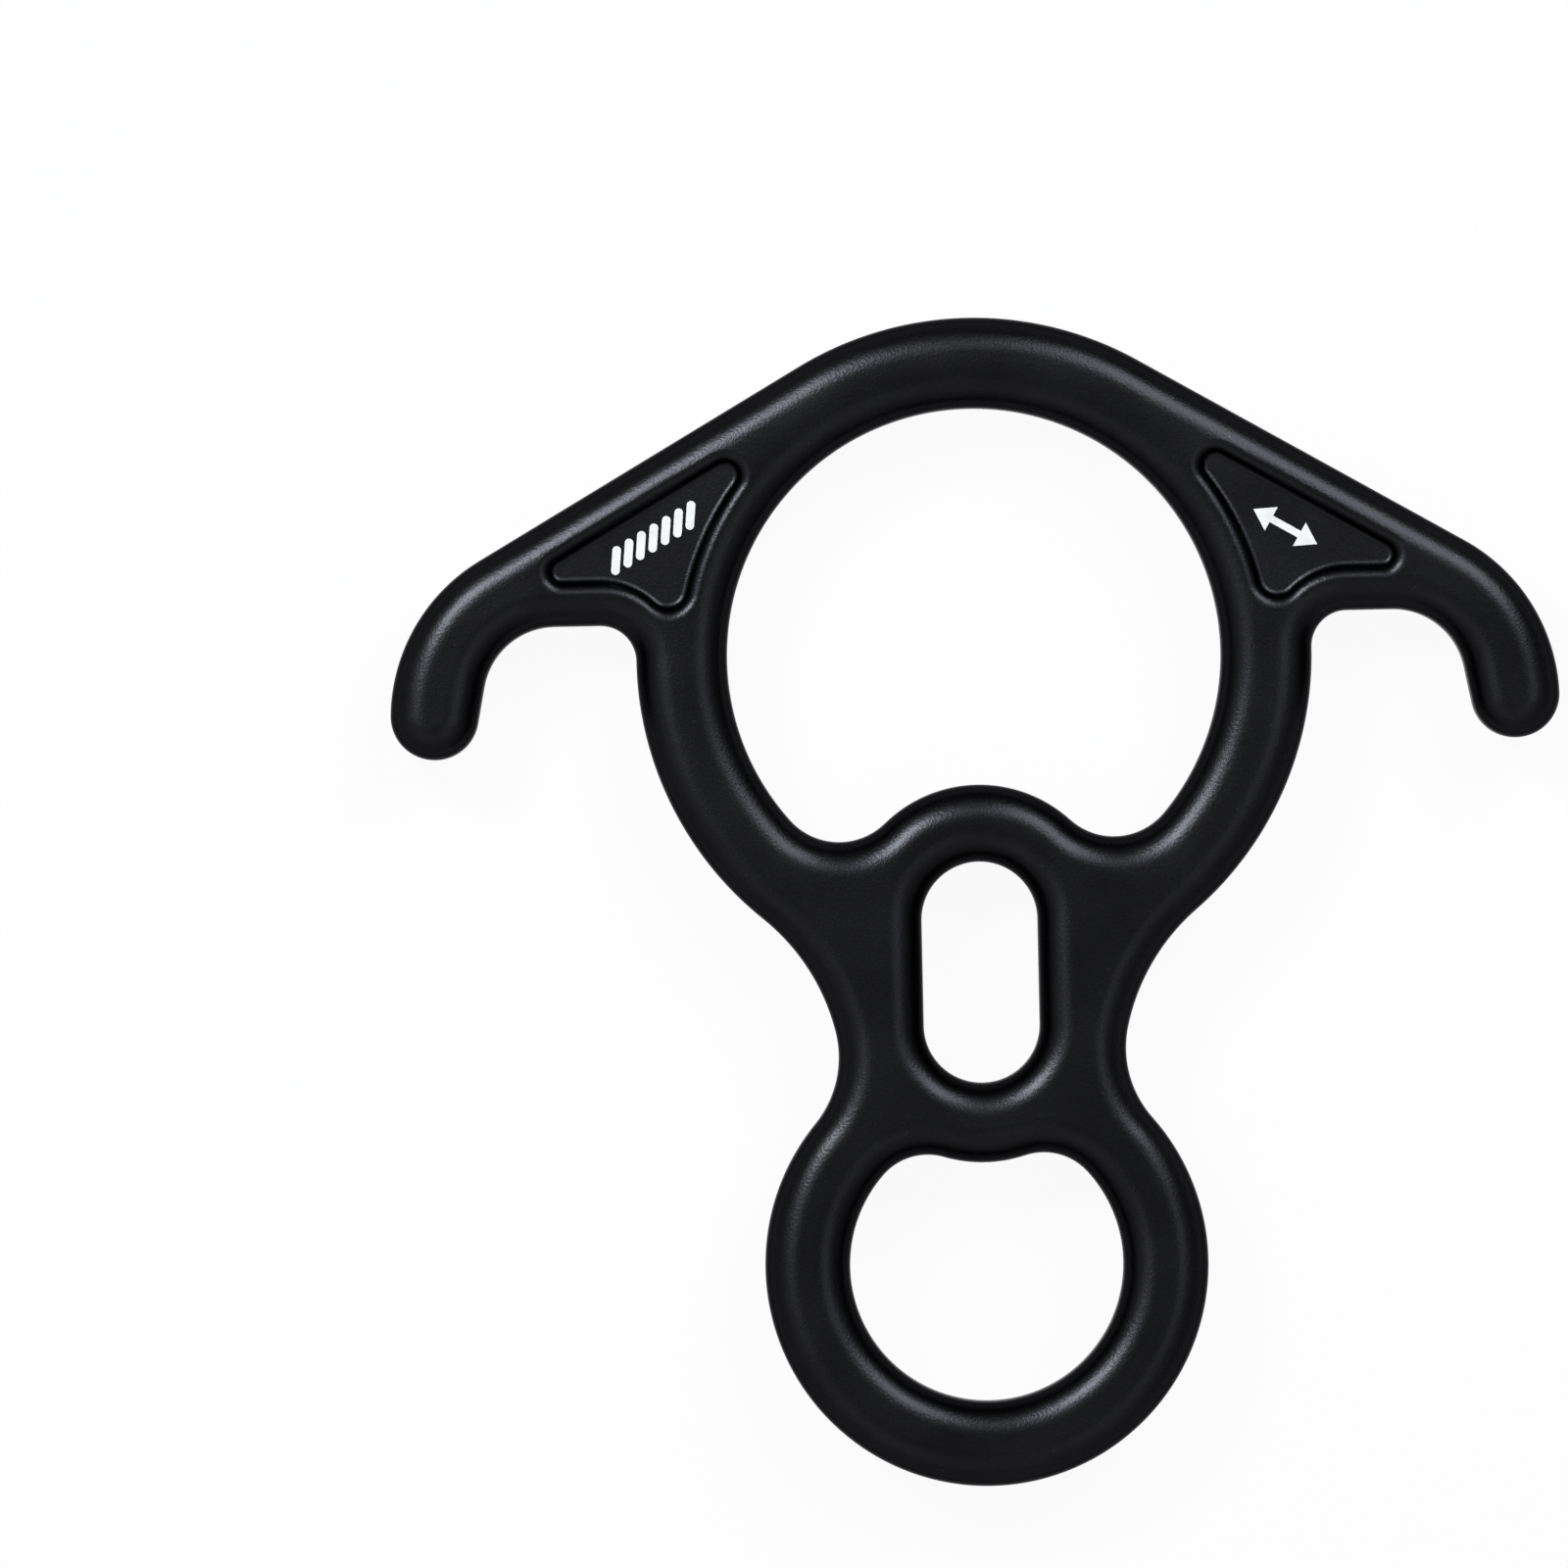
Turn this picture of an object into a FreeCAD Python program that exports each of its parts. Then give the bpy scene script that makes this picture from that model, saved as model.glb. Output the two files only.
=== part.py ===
import FreeCAD, Part
import math
import os

import Sketcher
from FreeCAD import Placement, Rotation, Vector

# Rescue figure eight descender. One forged aluminium body carries a large ring for
# the rope, a stop slot, a small eye for the carabiner and two hooked ears, with a
# recess in each ear on both faces. A printed ink mark lies in each front recess.
# Lengths are in millimetres and angles in degrees. The body lies on its back face:
# X runs from ear to ear, Y from the eye to the large ring, Z through the thickness.
SIZES = {
    # plate and its rounded edges
    "thickness": 14.0,
    "edge_radius": 4.4,
    "edge_bar_share": 0.455,
    # large opening and the ring around it
    "rope_hole_radius": 31.7,
    "rope_ring_bar": 11.65,
    "rope_lobe_radius": 8.4,
    "saddle_bar": 9.9,
    "saddle_rise": 15.1,
    # stop slot and the waist beside it
    "slot_radius": 7.45,
    "slot_straight": 13.5,
    "neck_bar": 11.0,
    "waist_radius": 13.5,
    "waist_turn": 12.9,
    # small eye and the ring around it
    "bridge_bar": 10.2,
    "bridge_rise": 4.45,
    "eye_hole_radius": 17.55,
    "eye_lobe_radius": 7.54,
    "eye_ring_bar": 10.9,
    # ears: the gap under each, the hook around it and the finger at its end
    "gap_height": 4.8,
    "gap_corner_radius": 4.65,
    "gap_straight": 5.8,
    "hook_radius": 9.3,
    "finger_straight": 4.8,
    "finger_radius": 5.65,
    "finger_drop": 6.35,
    "shoulder_radius": 23.6,
    "shoulder_tilt": 2.0,
    # recess in each ear
    "recess_depth": 1.6,
    "recess_draft": 30.0,
    "recess_land": 0.5,
    "recess_hole_land": 0.9,
    "recess_top_radius": 2.4,
    "recess_outer_radius": 2.1,
    "recess_low_radius": 3.2,
    "recess_rim_radius": 0.8,
    "recess_foot_radius": 0.9,
    "recess_blend_share": 0.93,
    # printed ink marks, each placed between its recess's three corners
    "ink_thickness": 0.06,
    "lay_top_share": 0.41,
    "lay_outer_share": 0.36,
    "lay_length_share": 0.59,
    "strand_count": 7,
    "strand_length_share": 0.27,
    "strand_width_share": 0.08,
    "strand_slant": 55.0,
    "arrow_top_share": 0.40,
    "arrow_outer_share": 0.31,
    "arrow_length_share": 0.40,
    "arrow_head_length_share": 0.28,
    "arrow_head_width_share": 0.37,
    "arrow_shaft_share": 0.10,
}

doc = FreeCAD.newDocument("figure_eight_descender")
sheet = doc.addObject("Spreadsheet::Sheet", "Sizes")
for row, (size_name, number) in enumerate(SIZES.items(), start=1):
    sheet.set(f"A{row}", size_name)
    sheet.set(f"B{row}", str(number))
    sheet.setAlias(f"B{row}", size_name)
doc.recompute()

# Sizes that follow from the driving ones. Drops are measured down the middle line
# from the centre of the large ring, which is the origin of the body's sketches.
RING_RADIUS = "(Sizes.rope_hole_radius + Sizes.rope_ring_bar)"
SADDLE_RADIUS = "(Sizes.slot_radius + Sizes.saddle_bar)"
BRIDGE_RADIUS = "(Sizes.slot_radius + Sizes.bridge_bar)"
EYE_RING_RADIUS = "(Sizes.eye_hole_radius + Sizes.eye_ring_bar)"
SLOT_TOP_DROP = f"(Sizes.rope_hole_radius + {SADDLE_RADIUS} - Sizes.saddle_rise)"
SLOT_LOW_DROP = f"({SLOT_TOP_DROP} + Sizes.slot_straight)"
EYE_DROP = f"({SLOT_LOW_DROP} + {BRIDGE_RADIUS} + Sizes.eye_hole_radius - Sizes.bridge_rise)"
MIDDLE_DROP = f"(({EYE_DROP} + {EYE_RING_RADIUS} - {RING_RADIUS}) / 2)"
HALF_THICKNESS = "(Sizes.thickness / 2)"
EDGE_RADIUS = (
    "min(Sizes.edge_radius; Sizes.edge_bar_share * min(Sizes.thickness; Sizes.rope_ring_bar;"
    " Sizes.saddle_bar; Sizes.neck_bar; Sizes.bridge_bar; Sizes.eye_ring_bar;"
    " 2 * Sizes.finger_radius))"
)
RECESS_MARGIN = f"({EDGE_RADIUS} + Sizes.recess_land)"
RECESS_RING_RADIUS = f"(Sizes.rope_hole_radius + {EDGE_RADIUS} + Sizes.recess_hole_land)"
RECESS_FLOOR = f"({HALF_THICKNESS} - Sizes.recess_depth)"
# A rounding takes this many times its radius off each side of the recess's rim or foot.
BLEND_REACH = "tan((90 - Sizes.recess_draft) / 2)"
RECESS_RIM_RADIUS = (
    "min(Sizes.recess_rim_radius; Sizes.recess_blend_share"
    f" * min(Sizes.recess_land / {BLEND_REACH}; Sizes.recess_depth))"
)
RECESS_FOOT_RADIUS = (
    "min(Sizes.recess_foot_radius; Sizes.recess_blend_share * min(Sizes.recess_depth;"
    " (min(Sizes.recess_top_radius; Sizes.recess_outer_radius; Sizes.recess_low_radius)"
    f" - Sizes.recess_depth * tan(Sizes.recess_draft)) / {BLEND_REACH}))"
)


def worked_out(expression):
    """The value of an expression over the document."""
    value = sheet.evalExpression(expression)
    return float(getattr(value, "Value", value))


def polar(length, degrees):
    return Vector(length * math.cos(math.radians(degrees)), length * math.sin(math.radians(degrees)), 0)


def heading(vector):
    return math.degrees(math.atan2(vector.y, vector.x))


def toward(start, goal, length):
    """The point that lies a length from start on the way to goal."""
    return start + (goal - start).normalize() * length


def third_corner(first, first_side, second, second_side):
    """The point at given distances from two points, left of the way from first to second."""
    base = second - first
    along = (first_side**2 - second_side**2 + base.Length**2) / (2 * base.Length)
    across = math.sqrt(first_side**2 - along**2)
    step = base / base.Length
    return first + step * along + Vector(-step.y, step.x, 0) * across


# Names for the places that a sketch's constraints refer to. A sketch counts the points
# of a line or arc up from one, and its own axes down from minus one.
START = 1
END = START + 1
CENTRE = END + 1
HORIZONTAL_AXIS = -1
VERTICAL_AXIS = HORIZONTAL_AXIS - 1
ORIGIN = (HORIZONTAL_AXIS, START)


def fix(sketch, kind, *where):
    return sketch.addConstraint(Sketcher.Constraint(kind, *where))


def drive(sketch, name, expression, kind, *where):
    """Adds a named dimension to the sketch and binds it to an expression."""
    value = worked_out(expression)
    index = fix(sketch, kind, *where, math.radians(value) if kind == "Angle" else value)
    sketch.renameConstraint(index, name)
    sketch.setExpression(f"Constraints.{name}", expression)


def report(sketch, name, kind, *where):
    """Adds a named dimension that only tells what the sketch comes out as."""
    index = fix(sketch, kind, *where, 1)
    sketch.setDriving(index, False)
    sketch.renameConstraint(index, name)


class Profile:
    """Lines and arcs drawn one after the other in a sketch, each tangent to the last."""

    def __init__(self, sketch, start):
        self.sketch = sketch
        self.point = start
        self.first = None
        self.last = None

    def line(self, point):
        index = self.sketch.addGeometry(Part.LineSegment(self.point, point))
        return self._follow(index, START, END, point)

    def arc(self, centre, point, clockwise):
        begin, end = (point, self.point) if clockwise else (self.point, point)
        circle = Part.Circle(centre, Vector(0, 0, 1), (begin - centre).Length)
        turn = math.radians((heading(end - centre) - heading(begin - centre)) % 360)
        start_angle = circle.parameter(begin)
        index = self.sketch.addGeometry(Part.ArcOfCircle(circle, start_angle, start_angle + turn))
        entry, leaving = (END, START) if clockwise else (START, END)
        return self._follow(index, entry, leaving, point)

    def close(self):
        fix(self.sketch, "Tangent", *self.last, *self.first)

    def _follow(self, index, entry, leaving, point):
        if self.last is None:
            self.first = (index, entry)
        else:
            fix(self.sketch, "Tangent", *self.last, index, entry)
        self.last = (index, leaving)
        self.point = point
        return index


def new_body(label):
    body = doc.addObject("PartDesign::Body", label)
    body.Label = label
    return body


def origin_feature(body, role):
    return next(feature for feature in body.Origin.OriginFeatures if feature.Role == role)


def new_sketch(body, name, height=None):
    """A sketch on the body's XY plane, or at a height above it."""
    sketch = body.newObject("Sketcher::SketchObject", name)
    sketch.AttachmentSupport = [(origin_feature(body, "XY_Plane"), "")]
    sketch.MapMode = "FlatFace"
    if height:
        sketch.AttachmentOffset = Placement(Vector(0, 0, worked_out(height)), Rotation())
        sketch.setExpression("AttachmentOffset.Base.z", height)
    return sketch


def new_pad(body, name, sketch, length):
    pad = body.newObject("PartDesign::Pad", name)
    pad.Profile = sketch
    pad.setExpression("Length", length)
    return pad


def mirror_feature(body, name, role):
    """A mirror in one of the body's origin planes."""
    mirror = body.newObject("PartDesign::Mirrored", name)
    mirror.MirrorPlane = (origin_feature(body, role), [""])
    return mirror


def mirror_twice(body, name, original, roles):
    """Repeats a feature across two of the body's origin planes, so that it is there four times."""
    copies = body.newObject("PartDesign::MultiTransform", name)
    copies.Originals = [original]
    copies.Transformations = [mirror_feature(body, f"{name}{role}", role) for role in roles]
    body.Tip = copies
    return copies


def check_cut(cut, base):
    if cut.Shape.Volume >= base.Shape.Volume:
        raise ValueError(f"{cut.Label} takes nothing away")


def cut_through(body, name, base, draw, *sizes):
    """Cuts a drawn hole through the whole thickness, half of it each way from the middle plane."""
    sketch = new_sketch(body, f"{name}Outline")
    draw(sketch, *sizes)
    hole = body.newObject("PartDesign::Pocket", name)
    hole.Profile = sketch
    hole.SideType = "Symmetric"
    hole.setExpression("Length", "Sizes.thickness")
    doc.recompute()
    check_cut(hole, base)
    return hole


def round_edges(body, name, base, edges, radius):
    fillet = body.newObject("PartDesign::Fillet", name)
    fillet.Base = (base, edges)
    fillet.setExpression("Radius", radius)
    doc.recompute()
    return fillet


def flat_edges(shape, height):
    """The edges, with their names, that lie at a height above the middle plane or as far below it."""
    close = Part.Precision.approximation()
    found = []
    for number, edge in enumerate(shape.Edges, start=1):
        levels = [vertex.Z for vertex in edge.Vertexes]
        if max(levels) - min(levels) < close and abs(abs(levels[0]) - height) < close:
            found.append((f"Edge{number}", edge))
    return found


def reaches(face, height):
    """Whether a face has a corner at a height above the middle plane or as far below it."""
    close = Part.Precision.approximation()
    return any(abs(abs(vertex.Z) - height) < close for vertex in face.Vertexes)


class Ear:
    """Centres and tangent points of the right ear's outline."""

    def __init__(self):
        ring, gap = worked_out(RING_RADIUS), worked_out("Sizes.gap_height")
        corner, hook = worked_out("Sizes.gap_corner_radius"), worked_out("Sizes.hook_radius")
        finger, shoulder = worked_out("Sizes.finger_radius"), worked_out("Sizes.shoulder_radius")
        straight, drop = worked_out("Sizes.finger_straight"), worked_out("Sizes.finger_drop")
        self.corner = Vector(math.sqrt((ring + corner) ** 2 - (gap - corner) ** 2), gap - corner, 0)
        self.ring_end = toward(Vector(), self.corner, ring)
        self.gap_start = self.corner + Vector(0, corner, 0)
        self.gap_end = self.gap_start + Vector(worked_out("Sizes.gap_straight"), 0, 0)
        self.hook = self.gap_end - Vector(0, hook, 0)
        reach = math.hypot(hook + finger, straight)
        fall = self.hook.y + drop
        self.finger = self.hook + Vector(math.sqrt(reach**2 - fall**2), -fall, 0)
        lean = math.degrees(math.acos((hook + finger) / reach))
        across = polar(1, heading(self.finger - self.hook) + lean)
        self.finger_start = self.hook + across * hook
        self.finger_end = self.finger - across * finger
        self.shoulder = self.finger - polar(shoulder - finger, worked_out("Sizes.shoulder_tilt"))
        self.shoulder_end = toward(self.shoulder, self.finger, shoulder)
        turn = math.degrees(math.acos((ring - shoulder) / self.shoulder.Length))
        self.upward = polar(1, heading(self.shoulder) + turn)
        self.edge_start = self.upward * ring
        self.edge_end = self.shoulder + self.upward * shoulder


class Waist:
    """Centres and tangent points of the right side of the neck."""

    def __init__(self):
        ring, eye_ring = worked_out(RING_RADIUS), worked_out(EYE_RING_RADIUS)
        small = worked_out("Sizes.waist_radius")
        self.eye = Vector(0, -worked_out(EYE_DROP), 0)
        side = worked_out("Sizes.slot_radius + Sizes.neck_bar") + small
        self.lower = self.eye + Vector(side, math.sqrt((eye_ring + small) ** 2 - side**2), 0)
        out = polar(1, -worked_out("Sizes.waist_turn"))
        reach = self.lower.dot(out)
        rest = self.lower.Length**2 - 2 * small * reach + small**2 - ring**2
        large = rest / (2 * (ring + small - reach))
        self.upper = self.lower + out * (large - small)
        self.ring_end = toward(Vector(), self.upper, ring)
        self.turn = self.lower - out * small
        self.eye_start = toward(self.eye, self.lower, eye_ring)


class RecessPlan:
    """Corner centres of the right ear's recess and the points where its sides meet the corners."""

    def __init__(self):
        ear = Ear()
        margin, hole_side = worked_out(RECESS_MARGIN), worked_out(RECESS_RING_RADIUS)
        top, outer = worked_out("Sizes.recess_top_radius"), worked_out("Sizes.recess_outer_radius")
        low = worked_out("Sizes.recess_low_radius")
        around_gap = worked_out("Sizes.gap_corner_radius") + margin
        edge = worked_out(RING_RADIUS) - margin
        along = Vector(ear.upward.y, -ear.upward.x, 0)
        slide = math.sqrt((hole_side + top) ** 2 - (edge - top) ** 2)
        self.top = ear.upward * (edge - top) + along * slide
        height = worked_out("Sizes.gap_height") + margin + outer
        self.outer = Vector((edge - outer - height * ear.upward.y) / ear.upward.x, height, 0)
        self.gap = ear.corner
        self.low = third_corner(Vector(), hole_side + low, self.gap, around_gap + low)
        self.edge_start = self.top + ear.upward * top
        self.edge_end = self.outer + ear.upward * outer
        self.gap_side_start = self.outer - Vector(0, outer, 0)
        self.gap_side_end = self.gap + Vector(0, around_gap, 0)
        self.low_start = toward(self.gap, self.low, around_gap)
        self.low_end = toward(Vector(), self.low, hole_side)
        self.top_start = toward(Vector(), self.top, hole_side)


def draw_outline(sketch):
    """The right half of the outline, from the top of the large ring to the foot of the eye."""
    ear, waist = Ear(), Waist()
    top = Vector(0, worked_out(RING_RADIUS), 0)
    foot = waist.eye - Vector(0, worked_out(EYE_RING_RADIUS), 0)
    outline = Profile(sketch, top)
    ring_top = outline.arc(Vector(), ear.edge_start, clockwise=True)
    ear_edge = outline.line(ear.edge_end)
    shoulder = outline.arc(ear.shoulder, ear.shoulder_end, clockwise=True)
    finger = outline.arc(ear.finger, ear.finger_end, clockwise=True)
    finger_side = outline.line(ear.finger_start)
    hook = outline.arc(ear.hook, ear.gap_end, clockwise=False)
    gap_top = outline.line(ear.gap_start)
    corner = outline.arc(ear.corner, ear.ring_end, clockwise=False)
    ring_side = outline.arc(Vector(), waist.ring_end, clockwise=True)
    outline.arc(waist.upper, waist.turn, clockwise=False)
    lower = outline.arc(waist.lower, waist.eye_start, clockwise=False)
    eye_ring = outline.arc(waist.eye, foot, clockwise=True)
    middle = sketch.addGeometry(Part.LineSegment(foot, top))

    fix(sketch, "Coincident", *outline.last, middle, START)
    fix(sketch, "Coincident", middle, END, *outline.first)
    fix(sketch, "PointOnObject", middle, START, VERTICAL_AXIS)
    fix(sketch, "PointOnObject", middle, END, VERTICAL_AXIS)
    fix(sketch, "Coincident", ring_top, CENTRE, *ORIGIN)
    fix(sketch, "Coincident", ring_side, CENTRE, *ORIGIN)
    fix(sketch, "Equal", ring_top, ring_side)
    fix(sketch, "PointOnObject", eye_ring, CENTRE, VERTICAL_AXIS)
    fix(sketch, "Horizontal", gap_top)
    drive(sketch, "ring_radius", RING_RADIUS, "Radius", ring_top)
    drive(sketch, "eye_ring_radius", EYE_RING_RADIUS, "Radius", eye_ring)
    drive(sketch, "eye_drop", EYE_DROP, "DistanceY", eye_ring, CENTRE, *ORIGIN)
    drive(sketch, "shoulder_radius", "Sizes.shoulder_radius", "Radius", shoulder)
    drive(sketch, "finger_radius", "Sizes.finger_radius", "Radius", finger)
    drive(sketch, "finger_drop", "Sizes.finger_drop", "DistanceY", finger, CENTRE, *ORIGIN)
    shoulder_fall = "(Sizes.shoulder_radius - Sizes.finger_radius) * sin(Sizes.shoulder_tilt)"
    drive(sketch, "shoulder_fall", shoulder_fall, "DistanceY", shoulder, CENTRE, finger, CENTRE)
    drive(sketch, "finger_straight", "Sizes.finger_straight", "Distance", finger_side)
    drive(sketch, "hook_radius", "Sizes.hook_radius", "Radius", hook)
    drive(sketch, "gap_straight", "Sizes.gap_straight", "Distance", gap_top)
    drive(sketch, "gap_height", "Sizes.gap_height", "DistanceY", *ORIGIN, gap_top, START)
    drive(sketch, "corner_radius", "Sizes.gap_corner_radius", "Radius", corner)
    drive(sketch, "waist_radius", "Sizes.waist_radius", "Radius", lower)
    waist_side = "Sizes.slot_radius + Sizes.neck_bar + Sizes.waist_radius"
    drive(sketch, "waist_side", waist_side, "DistanceX", *ORIGIN, lower, CENTRE)
    waist_lift = "Sizes.waist_radius * sin(Sizes.waist_turn)"
    drive(sketch, "waist_lift", waist_lift, "DistanceY", lower, CENTRE, lower, START)
    report(sketch, "ear_slope", "Angle", ear_edge)
    report(sketch, "corner_side", "DistanceX", *ORIGIN, corner, CENTRE)


def draw_bulged_hole(sketch, centre_drop, radius, lobe_radius, bulge_drop, bulge_radius):
    """A round hole on the middle line that a round bulge enters, with a lobe on each side of it."""
    centre = Vector(0, -worked_out(centre_drop), 0)
    middle = Vector(0, -worked_out(bulge_drop), 0)
    wide, small, inner = worked_out(radius), worked_out(lobe_radius), worked_out(bulge_radius)
    bulge_below = middle.y < centre.y
    if bulge_below:
        right = third_corner(centre, wide - small, middle, inner + small)
    else:
        right = third_corner(middle, inner + small, centre, wide - small)
    left = Vector(-right.x, right.y, 0)
    hole = Profile(sketch, toward(centre, left, wide))
    ring = hole.arc(centre, toward(centre, right, wide), clockwise=bulge_below)
    right_lobe = hole.arc(right, toward(middle, right, inner), clockwise=bulge_below)
    bulge = hole.arc(middle, toward(middle, left, inner), clockwise=not bulge_below)
    left_lobe = hole.arc(left, toward(centre, left, wide), clockwise=bulge_below)
    hole.close()
    fix(sketch, "PointOnObject", ring, CENTRE, VERTICAL_AXIS)
    fix(sketch, "PointOnObject", bulge, CENTRE, VERTICAL_AXIS)
    fix(sketch, "Equal", right_lobe, left_lobe)
    if centre.Length:
        drive(sketch, "centre_drop", centre_drop, "DistanceY", ring, CENTRE, *ORIGIN)
    else:
        fix(sketch, "PointOnObject", ring, CENTRE, HORIZONTAL_AXIS)
    drive(sketch, "radius", radius, "Radius", ring)
    drive(sketch, "lobe_radius", lobe_radius, "Radius", right_lobe)
    drive(sketch, "bulge_radius", bulge_radius, "Radius", bulge)
    drive(sketch, "bulge_drop", bulge_drop, "DistanceY", bulge, CENTRE, *ORIGIN)


def draw_slot(sketch):
    half_width = Vector(worked_out("Sizes.slot_radius"), 0, 0)
    top = Vector(0, -worked_out(SLOT_TOP_DROP), 0)
    low = Vector(0, -worked_out(SLOT_LOW_DROP), 0)
    slot = Profile(sketch, top + half_width)
    top_end = slot.arc(top, top - half_width, clockwise=False)
    slot.line(low - half_width)
    low_end = slot.arc(low, low + half_width, clockwise=False)
    slot.line(top + half_width)
    slot.close()
    fix(sketch, "PointOnObject", top_end, CENTRE, VERTICAL_AXIS)
    fix(sketch, "PointOnObject", low_end, CENTRE, VERTICAL_AXIS)
    fix(sketch, "Equal", top_end, low_end)
    drive(sketch, "radius", "Sizes.slot_radius", "Radius", top_end)
    drive(sketch, "top_drop", SLOT_TOP_DROP, "DistanceY", top_end, CENTRE, *ORIGIN)
    drive(sketch, "straight", "Sizes.slot_straight", "DistanceY", low_end, CENTRE, top_end, CENTRE)


def draw_recess(sketch):
    """The recess at the face, set in from the ear's edge, the gap's edge and the hole's edge."""
    plan = RecessPlan()
    recess = Profile(sketch, plan.edge_start)
    edge_side = recess.line(plan.edge_end)
    outer = recess.arc(plan.outer, plan.gap_side_start, clockwise=True)
    gap_side = recess.line(plan.gap_side_end)
    gap_corner = recess.arc(plan.gap, plan.low_start, clockwise=False)
    low = recess.arc(plan.low, plan.low_end, clockwise=True)
    hole_side = recess.arc(Vector(), plan.top_start, clockwise=False)
    top = recess.arc(plan.top, plan.edge_start, clockwise=True)
    recess.close()
    fix(sketch, "Coincident", hole_side, CENTRE, *ORIGIN)
    fix(sketch, "Horizontal", gap_side)
    drive(sketch, "slope", "Outline.Constraints.ear_slope", "Angle", edge_side)
    drive(sketch, "inset", f"{RING_RADIUS} - {RECESS_MARGIN}", "Distance", *ORIGIN, edge_side)
    corner_side = "Outline.Constraints.corner_side"
    drive(sketch, "corner_side", corner_side, "DistanceX", *ORIGIN, gap_corner, CENTRE)
    corner_reach = f"Sizes.gap_corner_radius + {RECESS_MARGIN}"
    drive(sketch, "corner_reach", corner_reach, "Radius", gap_corner)
    above_gap = f"Sizes.gap_height + {RECESS_MARGIN}"
    drive(sketch, "above_gap", above_gap, "DistanceY", *ORIGIN, gap_side, START)
    drive(sketch, "hole_reach", RECESS_RING_RADIUS, "Radius", hole_side)
    drive(sketch, "top_radius", "Sizes.recess_top_radius", "Radius", top)
    drive(sketch, "outer_radius", "Sizes.recess_outer_radius", "Radius", outer)
    drive(sketch, "low_radius", "Sizes.recess_low_radius", "Radius", low)
    for corner_name, arc in (("top", top), ("outer", outer), ("low", low)):
        report(sketch, f"{corner_name}_side", "DistanceX", *ORIGIN, arc, CENTRE)
        report(sketch, f"{corner_name}_height", "DistanceY", *ORIGIN, arc, CENTRE)
    report(sketch, "run", "Distance", top, CENTRE, outer, CENTRE)


def make_forged_body():
    body = new_body("forged_body")
    outline = new_sketch(body, "Outline")
    draw_outline(outline)
    half = new_pad(body, "HalfPlate", outline, "Sizes.thickness")
    half.SideType = "Symmetric"
    plate = mirror_feature(body, "Plate", "YZ_Plane")
    plate.Originals = [half]
    body.Tip = plate
    doc.recompute()

    rope_sizes = ("0", "Sizes.rope_hole_radius", "Sizes.rope_lobe_radius", SLOT_TOP_DROP, SADDLE_RADIUS)
    rope_hole = cut_through(body, "RopeHole", plate, draw_bulged_hole, *rope_sizes)
    eye_sizes = (EYE_DROP, "Sizes.eye_hole_radius", "Sizes.eye_lobe_radius", SLOT_LOW_DROP, BRIDGE_RADIUS)
    eye = cut_through(body, "Eye", rope_hole, draw_bulged_hole, *eye_sizes)
    slot = cut_through(body, "StopSlot", eye, draw_slot)
    face_edges = [name for name, edge in flat_edges(slot.Shape, worked_out(HALF_THICKNESS))]
    rounded = round_edges(body, "RoundedEdges", slot, face_edges, EDGE_RADIUS)

    recess_outline = new_sketch(body, "Recess", HALF_THICKNESS)
    draw_recess(recess_outline)
    recess = body.newObject("PartDesign::Pocket", "EarRecess")
    recess.Profile = recess_outline
    recess.setExpression("Length", "Sizes.recess_depth")
    recess.setExpression("TaperAngle", "-Sizes.recess_draft")
    doc.recompute()
    check_cut(recess, rounded)
    recesses = mirror_twice(body, "EarRecesses", recess, ("YZ_Plane", "XY_Plane"))
    doc.recompute()
    check_cut(recesses, recess)

    floor = worked_out(RECESS_FLOOR)
    rim_edges = [
        name
        for name, edge in flat_edges(recesses.Shape, worked_out(HALF_THICKNESS))
        if any(reaches(face, floor) for face in recesses.Shape.ancestorsOfType(edge, Part.Face))
    ]
    rims = round_edges(body, "RecessRims", recesses, rim_edges, RECESS_RIM_RADIUS)
    foot_edges = [name for name, edge in flat_edges(rims.Shape, floor)]
    round_edges(body, "RecessFeet", rims, foot_edges, RECESS_FOOT_RADIUS)
    body.setExpression("Placement.Base.y", MIDDLE_DROP)
    body.setExpression("Placement.Base.z", HALF_THICKNESS)
    return body


def lay_in_recess(body, side, top_share, outer_share):
    """Puts a print on its recess's floor, in line with the ear's edge."""
    places = []
    for way in ("side", "height"):
        top, outer, low = (f"Recess.Constraints.{corner}_{way}" for corner in ("top", "outer", "low"))
        places.append(f"({low} + {top_share} * ({top} - {low}) + {outer_share} * ({outer} - {low}))")
    body.setExpression("Placement.Base.x", f"{side} * {places[0]}")
    body.setExpression("Placement.Base.y", f"{places[1]} + forged_body.Placement.Base.y")
    body.setExpression("Placement.Base.z", f"{HALF_THICKNESS} + {RECESS_FLOOR}")
    body.setExpression("Placement.Rotation.Angle", f"{side} * Outline.Constraints.ear_slope")


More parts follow.
